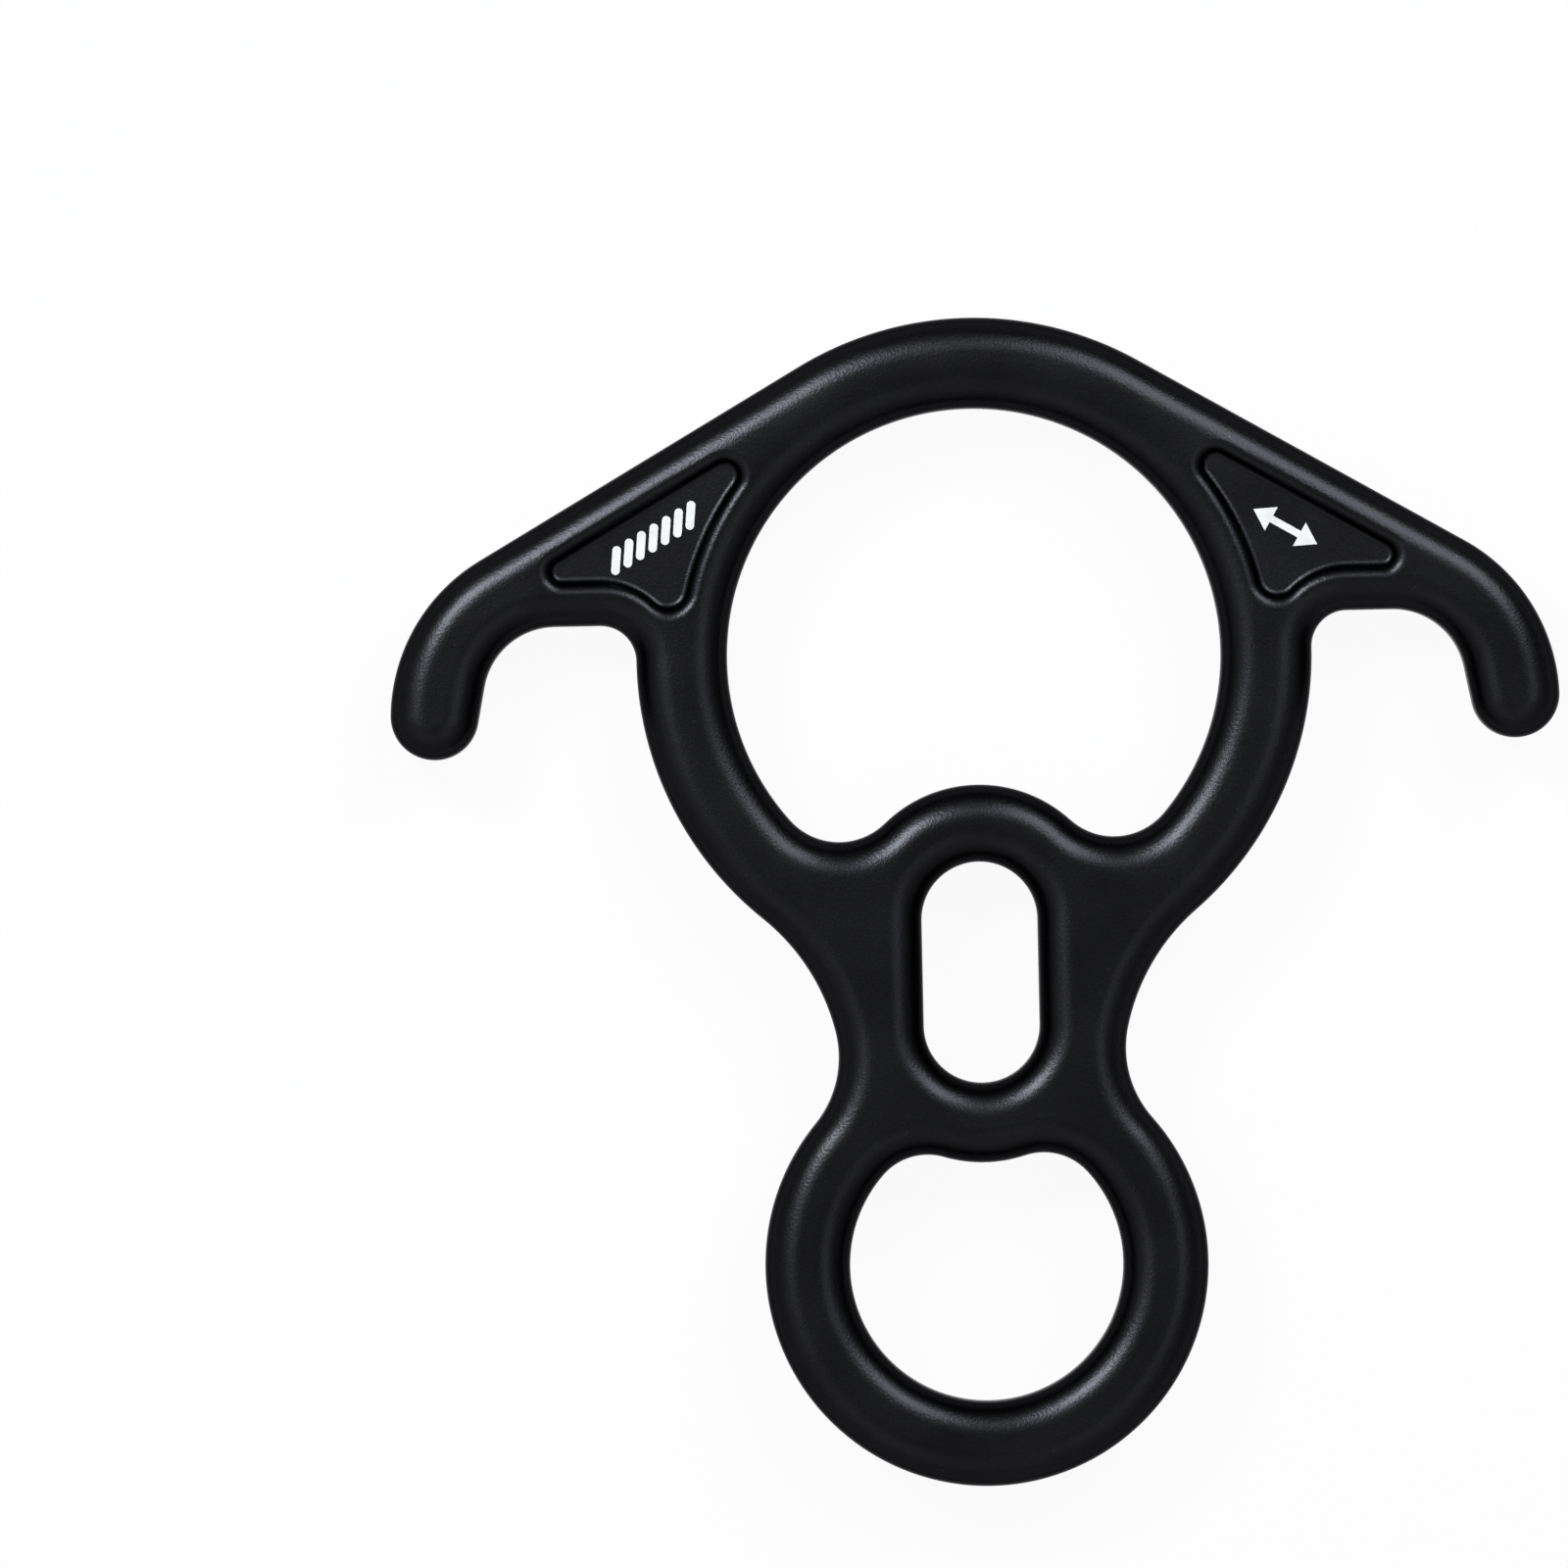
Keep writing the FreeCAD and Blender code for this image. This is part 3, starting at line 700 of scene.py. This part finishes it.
    def recess(self) -> Contour:
        """Draws the right ear's recess at the sharp corner that its rim rounds off.

        Returns:
            The corner line, with the recess on its left.
        """
        ear = self.ear()
        up = ear.upward()
        along = point(up[1], -up[0])
        hole_side = self.rope_hole_radius + self.recess_hole_margin
        top_radius, outer_radius = self.recess_top_radius, self.recess_outer_radius
        low_radius = self.recess_low_radius
        edge = self.ring_radius - self.recess_edge_margin
        slide = math.sqrt((hole_side + top_radius) ** 2 - (edge - top_radius) ** 2)
        top = up * (edge - top_radius) + along * slide
        height = ear.gap_height + self.recess_gap_margin + outer_radius
        outer = point((edge - outer_radius - height * up[1]) / up[0], height)
        gap, around_gap = ear.corner(), ear.gap_corner_radius + self.recess_gap_margin
        low = third_corner(point(0, 0), hole_side + low_radius, gap, around_gap + low_radius)
        pen = Pen(top + up * top_radius)
        pen.line(outer + up * outer_radius)
        pen.arc(outer, outer - point(0, outer_radius), clockwise=True)
        pen.line(gap + point(0, around_gap))
        pen.arc(gap, toward(gap, low, around_gap), clockwise=False)
        pen.arc(low, toward(point(0, 0), low, hole_side), clockwise=True)
        pen.arc(point(0, 0), toward(point(0, 0), top, hole_side), clockwise=False)
        pen.arc(top, top + up * top_radius, clockwise=True)
        return Contour(tuple(pen.runs)).reversed()

    def edges(self) -> list[Contour]:
        """Every edge of the forging, the outer one first."""
        return [self.outline(), self.rope_hole(), self.slot(), self.eye_hole()]

    def recesses(self) -> list[Contour]:
        """The recesses of both ears."""
        return [self.recess(), self.recess().mirrored()]

    def crown_share(self, points: np.ndarray) -> np.ndarray:
        """How much of the crown there is: all on the large ring, none on the web or the ears.

        Args:
            points: Points of the plan.

        Returns:
            The crown's share at each, from 0 to 1.
        """
        web = self.slot_top()[1]
        beyond = np.linalg.norm(points, axis=1)
        on_ear = ease(self.ring_radius, self.ring_radius + self.rounding.radius, beyond)
        return ease(web, web + self.saddle_bar, points[:, 1]) * (1 - on_ear)

    def height(self, points: np.ndarray) -> tuple[np.ndarray, np.ndarray]:
        """The front face's height over the middle plane.

        Args:
            points: Points of the plan.

        Returns:
            The heights, and how much of each is recess, from 0 to 1.
        """
        crown = self.crown_share(points)
        drop = np.zeros(len(points))
        for edge in self.edges():
            depth = edge.distance(points)
            drop += self.rounding.drop(depth) + crown * self.rounding.crown(depth)
        sunk = np.zeros(len(points))
        for recess in self.recesses():
            away = recess.distance(points)
            inset = np.where(recess.encloses(points), away, -away)
            sunk += self.recess_wall.drop(inset)
        share = sunk / self.recess_wall.depth
        return self.thickness / 2 - drop * (1 - share) - sunk, share

    def face_normals(self, points: np.ndarray) -> np.ndarray:
        """The front face's normals, from its slopes.

        Args:
            points: Points of the plan.

        Returns:
            The normal at each.
        """
        slopes = []
        for shift in (point(SLOPE_STEP, 0), point(0, SLOPE_STEP)):
            rise = self.height(points + shift)[0] - self.height(points - shift)[0]
            slopes.append(rise / (2 * SLOPE_STEP))
        normals = np.stack([-slopes[0], -slopes[1], np.ones(len(points))], axis=1)
        return normals / np.linalg.norm(normals, axis=1)[:, None]

    def lay_rounding(
        self, skin: SkinMesh, edge: Contour
    ) -> tuple[np.ndarray, dict[Face, np.ndarray]]:
        """Adds the rounded edge along one contour, on both faces, and the wall between.

        Args:
            skin: The mesh in the making.
            edge: The contour.

        Returns:
            The innermost ring's plan points, and its point numbers on each face.
        """
        places, inward = edge.sample(self.spacing)
        crown = self.crown_share(places)
        rings: dict[Face, list[np.ndarray]] = {face: [] for face in Face}
        for depth in self.rounding.depths(self.ring_depth, self.ring_steps):
            short = 1 - depth / self.rounding.radius
            slope = short / math.sqrt(max(1 - short**2, UPRIGHT))
            slope = slope + crown * self.crown_slope_at(depth)
            level = np.full(len(places), self.thickness / 2 - self.rounding.drop(depth))
            level -= crown * self.rounding.crown(depth)
            spots = places + inward * depth
            lean = np.concatenate([-inward * slope[:, None], np.ones((len(places), 1))], axis=1)
            lean /= np.linalg.norm(lean, axis=1)[:, None]
            for face in Face:
                up = np.array([1, 1, face.value])
                spot = np.concatenate([spots, level[:, None] * face.value], axis=1)
                rings[face].append(skin.add(spot, lean * up))
        for face in Face:
            for outer, inner in zip(rings[face], rings[face][1:]):
                skin.band(*((outer, inner) if face is Face.FRONT else (inner, outer)))
        self.lay_wall(skin, places, inward, crown, rings)
        return spots, {face: rings[face][-1] for face in Face}

    def crown_slope_at(self, depth: float) -> float:
        """The crown's slope at a depth inside the rounding."""
        return self.rounding.crown_slope * (depth / self.rounding.radius) ** 2

    def lay_wall(
        self,
        skin: SkinMesh,
        places: np.ndarray,
        inward: np.ndarray,
        crown: np.ndarray,
        rings: dict[Face, list[np.ndarray]],
    ) -> None:
        """Adds the upright wall between the two faces' outermost rings.

        Args:
            skin: The mesh in the making.
            places: The contour's points.
            inward: Their normals into the metal.
            crown: How much crown there is at each point.
            rings: The rings of each face, outermost first.
        """
        top = self.thickness / 2 - self.rounding.radius - crown * self.rounding.crown(0.0)
        outward = np.concatenate([-inward, np.zeros((len(places), 1))], axis=1)
        last = rings[Face.BACK][0]
        for step in range(1, self.wall_steps):
            level = top * (2 * step / self.wall_steps - 1)
            ring = skin.add(np.concatenate([places, level[:, None]], axis=1), outward)
            skin.band(last, ring)
            last = ring
        skin.band(last, rings[Face.FRONT][0])

    def fill_points(self) -> np.ndarray:
        """Spreads points inside the rounded edges.

        Returns:
            Rings of points round the recess walls, then an even grid elsewhere.
        """
        edges, recesses = self.edges(), self.recesses()
        insets = self.recess_wall.insets(self.recess_steps)
        rings = []
        for recess in recesses:
            corners, inward = recess.sample(self.recess_spacing)
            rings += [corners + inward * inset for inset in insets]
        outer = edges[0].sample(self.spacing)[0]
        low, high = outer.min(axis=0), outer.max(axis=0)
        pitch = self.fill_spacing
        rows = np.arange(low[1], high[1], pitch * math.sqrt(3) / 2)
        columns = np.arange(low[0], high[0], pitch)
        shifted = [pitch / 2 * (row % 2) for row in range(len(rows))]
        grid = np.array([(x + shift, y) for shift, y in zip(shifted, rows) for x in columns])
        clear = edges[0].encloses(grid)
        for edge in edges[1:]:
            clear &= ~edge.encloses(grid)
        for edge in edges:
            clear &= edge.distance(grid) > self.ring_depth + pitch / 2
        wall_start = self.recess_wall.first() - pitch / 2
        wall_end = self.recess_wall.last() + pitch / 2
        for recess in recesses:
            away = recess.distance(grid)
            inset = np.where(recess.encloses(grid), away, -away)
            clear &= (inset < wall_start) | (inset > wall_end)
        return np.concatenate(rings + [grid[clear]])

    def lay_faces(
        self, skin: SkinMesh, borders: list[np.ndarray], numbers: list[dict[Face, np.ndarray]]
    ) -> None:
        """Fills both faces between the rounded edges.

        Args:
            skin: The mesh in the making.
            borders: Plan points of the rounded edges' innermost rings.
            numbers: Their point numbers on each face.
        """
        inner = self.fill_points()
        links: list[tuple[int, int]] = []
        start = 0
        for border in borders:
            ring = range(start, start + len(border))
            links += [(a, b) for a, b in zip(ring, [*ring[1:], ring[0]])]
            start += len(border)
        everything = np.concatenate([*borders, inner])
        flat = [Vector(place) for place in everything]
        found = delaunay_2d_cdt(flat, links, [], 0, WELD)
        origins = np.array([origin[0] for origin in found[3]])
        corners = origins[np.array(found[2])]
        a, b, c = (everything[corners[:, column]] for column in range(3))
        twice_area = (b - a)[:, 0] * (c - a)[:, 1] - (b - a)[:, 1] * (c - a)[:, 0]
        corners[twice_area < 0] = corners[twice_area < 0][:, ::-1]
        centres = (a + b + c) / 3
        metal = encloses(borders[0], centres) & (abs(twice_area) > SLIVER)
        for border in borders[1:]:
            metal &= ~encloses(border, centres)
        corners = corners[metal]
        level, recessed = self.height(inner)
        lean = self.face_normals(inner)
        for face in Face:
            up = np.array([1, 1, face.value])
            places = np.concatenate([inner, level[:, None] * face.value], axis=1)
            own = skin.add(places, lean * up, recessed)
            lookup = np.concatenate([*(ring[face] for ring in numbers), own])
            order = corners if face is Face.FRONT else corners[:, ::-1]
            skin.faces.append(lookup[order])

    def build(self, offset: Vector) -> bpy.types.Object:
        """Makes the forging's skin.

        Args:
            offset: Where the large ring's centre lies in the frame, in metres.

        Returns:
            The piece.
        """
        skin = SkinMesh()
        borders, numbers = [], []
        for edge in self.edges():
            border, ring = self.lay_rounding(skin, edge)
            borders.append(border)
            numbers.append(ring)
        self.lay_faces(skin, borders, numbers)
        return skin.finish("forged_metal", offset)


class MixKind(Enum):
    """What a Mix node mixes, with the places of its two inputs and of its result."""

    FLOAT = (2, 3, 0)
    RGBA = (6, 7, 2)


@dataclass(frozen=True)
class Graph:
    """A material's node tree, with short ways to add and link nodes."""

    tree: bpy.types.NodeTree

    def add(self, kind: str, **settings: object) -> bpy.types.Node:
        """Adds a node.

        Args:
            kind: Its type name.
            **settings: Properties to set on it.

        Returns:
            The node.
        """
        node = self.tree.nodes.new(kind)
        for name, value in settings.items():
            setattr(node, name, value)
        return node

    def link(self, source: bpy.types.NodeSocket, target: bpy.types.NodeSocket) -> None:
        """Links an output to an input."""
        self.tree.links.new(source, target)

    def feed(self, value: Operand, target: bpy.types.NodeSocket) -> None:
        """Links a socket into an input, or writes a number or colour there.

        Args:
            value: The socket, number or colour.
            target: The input.
        """
        if isinstance(value, bpy.types.NodeSocket):
            self.link(value, target)
        else:
            target.default_value = value

    def compute(self, operation: str, first: Operand, second: Operand) -> bpy.types.NodeSocket:
        """Adds a two-input arithmetic node.

        Args:
            operation: The Math node's operation.
            first: A socket or a number.
            second: A socket or a number.

        Returns:
            The result's socket.
        """
        node = self.add("ShaderNodeMath", operation=operation)
        self.feed(first, node.inputs[0])
        self.feed(second, node.inputs[1])
        return node.outputs[0]

    def spread(
        self, value: bpy.types.NodeSocket, source: tuple[float, float], goal: tuple[float, float]
    ) -> bpy.types.NodeSocket:
        """Maps a value's range onto another, clamped.

        Args:
            value: The value's socket.
            source: Start and end of its range.
            goal: Start and end of the new range.

        Returns:
            The mapped value's socket.
        """
        node = self.add("ShaderNodeMapRange", clamp=True)
        self.link(value, node.inputs["Value"])
        names = ("From Min", "From Max", "To Min", "To Max")
        for name, number in zip(names, (*source, *goal)):
            node.inputs[name].default_value = number
        return node.outputs["Result"]

    def mix(
        self, kind: MixKind, share: bpy.types.NodeSocket, first: Operand, second: Operand
    ) -> bpy.types.NodeSocket:
        """Mixes two numbers or two colours.

        Args:
            kind: Which of the two.
            share: How much of the second.
            first: The first number or colour.
            second: The second number or colour.

        Returns:
            The result's socket.
        """
        node = self.add("ShaderNodeMix", data_type=kind.name)
        first_place, second_place, result_place = kind.value
        self.link(share, node.inputs["Factor"])
        self.feed(first, node.inputs[first_place])
        self.feed(second, node.inputs[second_place])
        return node.outputs[result_place]

    def texture(
        self, grain: bpy.types.NodeTree, grain_size: float, cloud_size: float
    ) -> bpy.types.Node:
        """Places the shared grain group.

        Args:
            grain: The group.
            grain_size: Size of the grain in metres.
            cloud_size: Size of the clouds in metres.

        Returns:
            The group's node.
        """
        node = self.add("ShaderNodeGroup", node_tree=grain)
        node.inputs["Grain Size"].default_value = grain_size
        node.inputs["Cloud Size"].default_value = cloud_size
        return node

    def bump(self, height: bpy.types.NodeSocket, rise: float, shader: bpy.types.Node) -> None:
        """Gives a shader a bump.

        Args:
            height: The bump's shape, from 0 to 1.
            rise: Its full height in metres.
            shader: The shader.
        """
        node = self.add("ShaderNodeBump")
        node.inputs["Distance"].default_value = rise
        self.link(height, node.inputs["Height"])
        self.link(node.outputs["Normal"], shader.inputs["Normal"])


def new_material(name: str) -> tuple[bpy.types.Material, Graph, bpy.types.Node]:
    """Makes a material with a Principled shader.

    Args:
        name: Its name.

    Returns:
        The material, its graph and its shader node.
    """
    material = bpy.data.materials.new(name)
    material.use_nodes = True
    graph = Graph(material.node_tree)
    return material, graph, material.node_tree.nodes["Principled BSDF"]


@dataclass(frozen=True)
class GrainTexture:
    """A fine even grain, a broad cloudiness and sparse specks, shared by the metal and the ink.

    The specks stand in cells of their own. A cell has one where its random number is past
    the first chosen, and the speck fades out between its core and its rim.
    """

    grain_detail: float = 2.0
    cloud_detail: float = 3.0
    cells_per_grain: float = 0.4
    first_chosen: float = 0.86
    speck_core: float = 0.05
    speck_rim: float = 0.24

    def make(self) -> bpy.types.NodeTree:
        """Makes the node group.

        Returns:
            The group, with a grain size and a cloud size in metres.
        """
        group = bpy.data.node_groups.new("fine_grain", "ShaderNodeTree")
        for name in ("Grain Size", "Cloud Size"):
            group.interface.new_socket(name, in_out="INPUT", socket_type="NodeSocketFloat")
        for name in ("Grain", "Cloud", "Specks"):
            group.interface.new_socket(name, in_out="OUTPUT", socket_type="NodeSocketFloat")
        graph = Graph(group)
        sizes = graph.add("NodeGroupInput").outputs
        results = graph.add("NodeGroupOutput").inputs
        place = graph.add("ShaderNodeTexCoord").outputs["Object"]
        for name, detail in (("Grain", self.grain_detail), ("Cloud", self.cloud_detail)):
            noise = graph.add("ShaderNodeTexNoise", noise_dimensions="3D")
            noise.inputs["Detail"].default_value = detail
            graph.link(place, noise.inputs["Vector"])
            graph.link(graph.compute("DIVIDE", 1.0, sizes[f"{name} Size"]), noise.inputs["Scale"])
            graph.link(noise.outputs["Fac"], results[name])
        cells = graph.add("ShaderNodeTexVoronoi", feature="F1")
        graph.link(place, cells.inputs["Vector"])
        scale = graph.compute("DIVIDE", self.cells_per_grain, sizes["Grain Size"])
        graph.link(scale, cells.inputs["Scale"])
        pick = graph.add("ShaderNodeSeparateColor")
        graph.link(cells.outputs["Color"], pick.inputs["Color"])
        chosen = graph.spread(pick.outputs["Red"], (self.first_chosen, 1.0), UNIT)
        dot = graph.spread(cells.outputs["Distance"], (self.speck_core, self.speck_rim), (1.0, 0.0))
        graph.link(graph.compute("MULTIPLY", chosen, dot), results["Specks"])
        return group


@dataclass(frozen=True)
class AnodisedFinish:
    """Satin black anodising over tumbled aluminium.

    The faces are rubbed smoothest by the tumbling. The steep sides get painted shade: their
    base colour is darker, and the recess floors, which the tumbling doesn't reach, stay a
    touch rougher and paler. The painted shade follows the surface's own normal in the
    object, the same from every view.
    """

    dark: tuple[float, float, float] = (0.0302, 0.0304, 0.0339)
    light: tuple[float, float, float] = (0.0336, 0.0338, 0.0377)
    speck_gain: float = 1.9
    grain_gain: float = 0.06
    # Painted shade: the share of the base colour kept on the steepest sides, fading in between two
    # uprightnesses.
    steep_painted_shade: float = 0.37
    shade_darkest_upright: float = 0.69
    shade_free_upright: float = 0.88
    recess_gain: float = 1.03
    recess_roughness: float = 0.02
    edge_tint: tuple[float, float, float] = (0.46, 0.46, 0.46)
    smooth: float = 0.3
    rough: float = 0.34
    grain_size: float = 0.00036
    cloud_size: float = 0.012
    bump_height: float = 0.000034
    cloud_range: tuple[float, float] = (0.35, 0.65)
    grain_range: tuple[float, float] = (0.3, 0.7)
    gloss_range: tuple[float, float] = (0.2, 0.8)
    recess_range: tuple[float, float] = (0.7, 1.0)

    def make(self, grain: bpy.types.NodeTree) -> bpy.types.Material:
        """Makes the material.

        Args:
            grain: The shared grain group.

        Returns:
            The material.
        """
        material, graph, shader = new_material("black_anodised")
        texture = graph.texture(grain, self.grain_size, self.cloud_size).outputs
        tone = graph.spread(texture["Cloud"], self.cloud_range, UNIT)
        normal = graph.add("ShaderNodeSeparateXYZ")
        graph.link(graph.add("ShaderNodeTexCoord").outputs["Normal"], normal.inputs[0])
        rise = normal.outputs["Z"]
        upright = graph.compute("MAXIMUM", rise, graph.compute("MULTIPLY", rise, -1.0))
        recessed = graph.add("ShaderNodeAttribute", attribute_name=RECESS_MASK).outputs["Fac"]
        # Painted shade: the base colour darkens on steep sides by the tilt of the object's own
        # normal, standing in for the dark rim that the surroundings reflect there.
        slopes = (self.shade_darkest_upright, self.shade_free_upright)
        depth = graph.spread(upright, slopes, (self.steep_painted_shade, 1.0))
        gain = graph.spread(recessed, self.recess_range, (1.0, self.recess_gain))
        specks = graph.spread(texture["Specks"], UNIT, (1.0, self.speck_gain))
        mottling = (1 - self.grain_gain, 1 + self.grain_gain)
        mottle = graph.spread(texture["Grain"], self.grain_range, mottling)
        sparkle = graph.compute("MULTIPLY", specks, mottle)
        base = graph.mix(MixKind.RGBA, tone, (*self.dark, 1), (*self.light, 1))
        strength = graph.compute("MULTIPLY", graph.compute("MULTIPLY", depth, gain), sparkle)
        shaded = graph.add("ShaderNodeVectorMath", operation="SCALE")
        graph.link(base, shaded.inputs[0])
        graph.link(strength, shaded.inputs["Scale"])
        graph.link(shaded.outputs[0], shader.inputs["Base Color"])
        gloss = graph.compute("MULTIPLY", graph.compute("ADD", texture["Grain"], tone), 0.5)
        rubbed = graph.spread(gloss, self.gloss_range, (self.smooth, self.rough))
        unrubbed = graph.spread(recessed, self.recess_range, (0.0, self.recess_roughness))
        graph.link(graph.compute("ADD", rubbed, unrubbed), shader.inputs["Roughness"])
        graph.bump(texture["Grain"], self.bump_height, shader)
        shader.inputs["Metallic"].default_value = 1.0
        shader.inputs["Specular Tint"].default_value = (*self.edge_tint, 1)
        return material


@dataclass(frozen=True)
class InkFinish:
    """White screen ink, slightly uneven where it covers the grain."""

    thin: tuple[float, float, float] = (0.84, 0.84, 0.84)
    full: tuple[float, float, float] = (0.93, 0.93, 0.93)
    roughness: float = 0.55
    grain_size: float = 0.00018
    cloud_size: float = 0.0015
    bump_height: float = 0.000004
    cloud_range: tuple[float, float] = (0.3, 0.6)

    def make(self, grain: bpy.types.NodeTree) -> bpy.types.Material:
        """Makes the material.

        Args:
            grain: The shared grain group.

        Returns:
            The material.
        """
        material, graph, shader = new_material("white_ink")
        texture = graph.texture(grain, self.grain_size, self.cloud_size).outputs
        cover = graph.spread(texture["Cloud"], self.cloud_range, UNIT)
        base = graph.mix(MixKind.RGBA, cover, (*self.thin, 1), (*self.full, 1))
        graph.link(base, shader.inputs["Base Color"])
        graph.bump(texture["Grain"], self.bump_height, shader)
        shader.inputs["Roughness"].default_value = self.roughness
        return material


@dataclass(frozen=True)
class Softbox:
    """A square studio lamp with a soft front, placed by degrees round and from the vertical."""

    name: str
    azimuth: float
    tilt: float
    size: float
    power: float
    distance: float = 1.2
    tint: tuple[float, float, float] = (0.94, 0.965, 1.0)

    def place(self, target: Vector) -> None:
        """Puts the lamp up.

        Args:
            target: The place that it faces.
        """
        lamp = bpy.data.lights.new(self.name, "AREA")
        lamp.shape = "SQUARE"
        lamp.color = self.tint
        lamp.size = self.size
        lamp.energy = self.power
        holder = bpy.data.objects.new(self.name, lamp)
        around, down = math.radians(self.azimuth), math.radians(self.tilt)
        way = Vector((*polar(math.sin(down), around), math.cos(down)))
        holder.location = target + way * self.distance
        holder.rotation_euler = way.to_track_quat("Z", "Y").to_euler()
        holder.visible_camera = False
        bpy.context.scene.collection.objects.link(holder)


@dataclass(frozen=True)
class Studio:
    """The floor, lamps, surroundings and camera."""

    floor_half: float = 4.0
    floor_gap: float = 0.0001
    floor_tone: float = 0.86
    floor_glow_share: float = 0.94
    ceiling_level: float = 0.14
    lit_wall_level: float = 0.36
    dim_wall_level: float = 0.06
    lit_wall_azimuth: float = math.radians(-120)
    ceiling_height: float = 0.95
    wall_height: float = 0.7
    frame_width: float = 0.20096
    frame_centre: tuple[float, float] = (-0.02473, 0.01566)
    frame_turn: float = math.radians(-1.2255)
    camera_distance: float = 3.0
    sensor: float = 36.0
    softboxes: tuple[Softbox, ...] = (
        Softbox("key_softbox", azimuth=132, tilt=42, size=0.38, power=9.5),
        Softbox("second_softbox", azimuth=54, tilt=46.5, size=0.6, power=6.2),
        Softbox("left_fill", azimuth=-176, tilt=31, size=0.5, power=0.42),
        Softbox("right_fill", azimuth=-2, tilt=32, size=0.5, power=0.55),
        Softbox("front_fill", azimuth=-55, tilt=33, size=0.6, power=0.33),
        Softbox("low_fill", azimuth=-122, tilt=42, size=0.6, power=0.2),
    )

    def lay_floor(self, base: float) -> None:
        """Lays the pale floor a hair under the object, so that the two never share a plane.

        It is clear from beneath, so that the underside can be seen.

        Args:
            base: The height of the object's base in metres.
        """
        half, level = self.floor_half, base - self.floor_gap
        signs = ((-1, -1), (1, -1), (1, 1), (-1, 1))
        mesh = bpy.data.meshes.new("floor")
        mesh.from_pydata([(x * half, y * half, level) for x, y in signs], [], [(0, 1, 2, 3)])
        floor = bpy.data.objects.new("floor", mesh)
        bpy.context.scene.collection.objects.link(floor)
        material, graph, shader = new_material("pale_floor")
        shader.inputs["Base Color"].default_value = (self.floor_tone,) * 3 + (1,)
        shader.inputs["Roughness"].default_value = 1.0
        shader.inputs["Specular IOR Level"].default_value = 0.0
        rays = graph.add("ShaderNodeLightPath").outputs
        seen = graph.compute("MAXIMUM", rays["Is Camera Ray"], rays["Is Glossy Ray"])
        seen = graph.compute("MAXIMUM", seen, rays["Is Transmission Ray"])
        glow = graph.add("ShaderNodeEmission")
        mix = graph.add("ShaderNodeMixShader")
        graph.link(graph.compute("MULTIPLY", seen, self.floor_glow_share), mix.inputs["Fac"])
        graph.link(shader.outputs["BSDF"], mix.inputs[1])
        graph.link(glow.outputs["Emission"], mix.inputs[2])
        clear = graph.add("ShaderNodeMixShader")
        graph.link(graph.add("ShaderNodeNewGeometry").outputs["Backfacing"], clear.inputs["Fac"])
        graph.link(mix.outputs["Shader"], clear.inputs[1])
        graph.link(graph.add("ShaderNodeBsdfTransparent").outputs["BSDF"], clear.inputs[2])
        graph.link(clear.outputs["Shader"], graph.tree.nodes["Material Output"].inputs["Surface"])
        mesh.materials.append(material)

    def light(self, target: Vector) -> None:
        """Puts up the lamps and the room around them, one side of it lit and the other dim.

        Args:
            target: The place that the lamps face.
        """
        for softbox in self.softboxes:
            softbox.place(target)
        world = bpy.data.worlds.new("dim_room")
        world.use_nodes = True
        graph = Graph(world.node_tree)
        background = world.node_tree.nodes["Background"]
        background.inputs["Color"].default_value = (1, 1, 1, 1)
        way = graph.add("ShaderNodeTexCoord").outputs["Generated"]
        upward = graph.add("ShaderNodeSeparateXYZ")
        graph.link(way, upward.inputs[0])
        sideways = graph.add("ShaderNodeVectorMath", operation="DOT_PRODUCT")
        graph.link(way, sideways.inputs[0])
        sideways.inputs[1].default_value = (*polar(1, self.lit_wall_azimuth), 0)
        heights = (self.wall_height, self.ceiling_height)
        overhead = graph.spread(upward.outputs["Z"], heights, UNIT)
        wall_levels = (self.dim_wall_level, self.lit_wall_level)
        wall = graph.spread(sideways.outputs["Value"], (-1.0, 1.0), wall_levels)
        level = graph.mix(MixKind.FLOAT, overhead, wall, self.ceiling_level)
        graph.link(level, background.inputs["Strength"])
        bpy.context.scene.world = world

    def aim_camera(self, level: float) -> None:
        """Sets the camera straight above the frame's middle.

        Args:
            level: The height that the frame's width is measured at.
        """
        camera = bpy.data.cameras.new("camera")
        camera.sensor_width = self.sensor
        camera.lens = self.sensor * self.camera_distance / self.frame_width
        camera.clip_end = 2 * self.camera_distance
        holder = bpy.data.objects.new("camera", camera)
        holder.location = (*self.frame_centre, level + self.camera_distance)
        holder.rotation_euler = (0, 0, self.frame_turn)
        bpy.context.scene.collection.objects.link(holder)
        bpy.context.scene.camera = holder
        bpy.context.scene.view_settings.view_transform = "Standard"


def main() -> None:
    """Builds the descender's looks and its studio."""
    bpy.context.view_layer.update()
    low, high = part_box(FORGED_NODE)
    forging = ForgedBody(thickness=(high.z - low.z) / MM)
    centre = Vector((0, high.y - forging.ring_radius * MM, (low.z + high.z) / 2))
    grain = GrainTexture().make()
    metal = forging.build(centre)
    metal.data.materials.append(AnodisedFinish().make(grain))
    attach(metal, BODY_NAME)
    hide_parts(FORGED_NODE)
    LOG.info("forged metal: %d faces", len(metal.data.polygons))
    ink = InkFinish().make(grain)
    for mark in InkMark:
        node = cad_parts[mark.value]
        for slot in node.material_slots:
            slot.material = ink
        LOG.info("%s: white ink", mark.value)
    studio = Studio()
    studio.lay_floor(low.z)
    studio.light(Vector((0, 0, low.z)))
    studio.aim_camera(high.z)


if __name__ == "__main__":
    logging.basicConfig(level=logging.INFO, format="%(name)s: %(message)s")
    main()
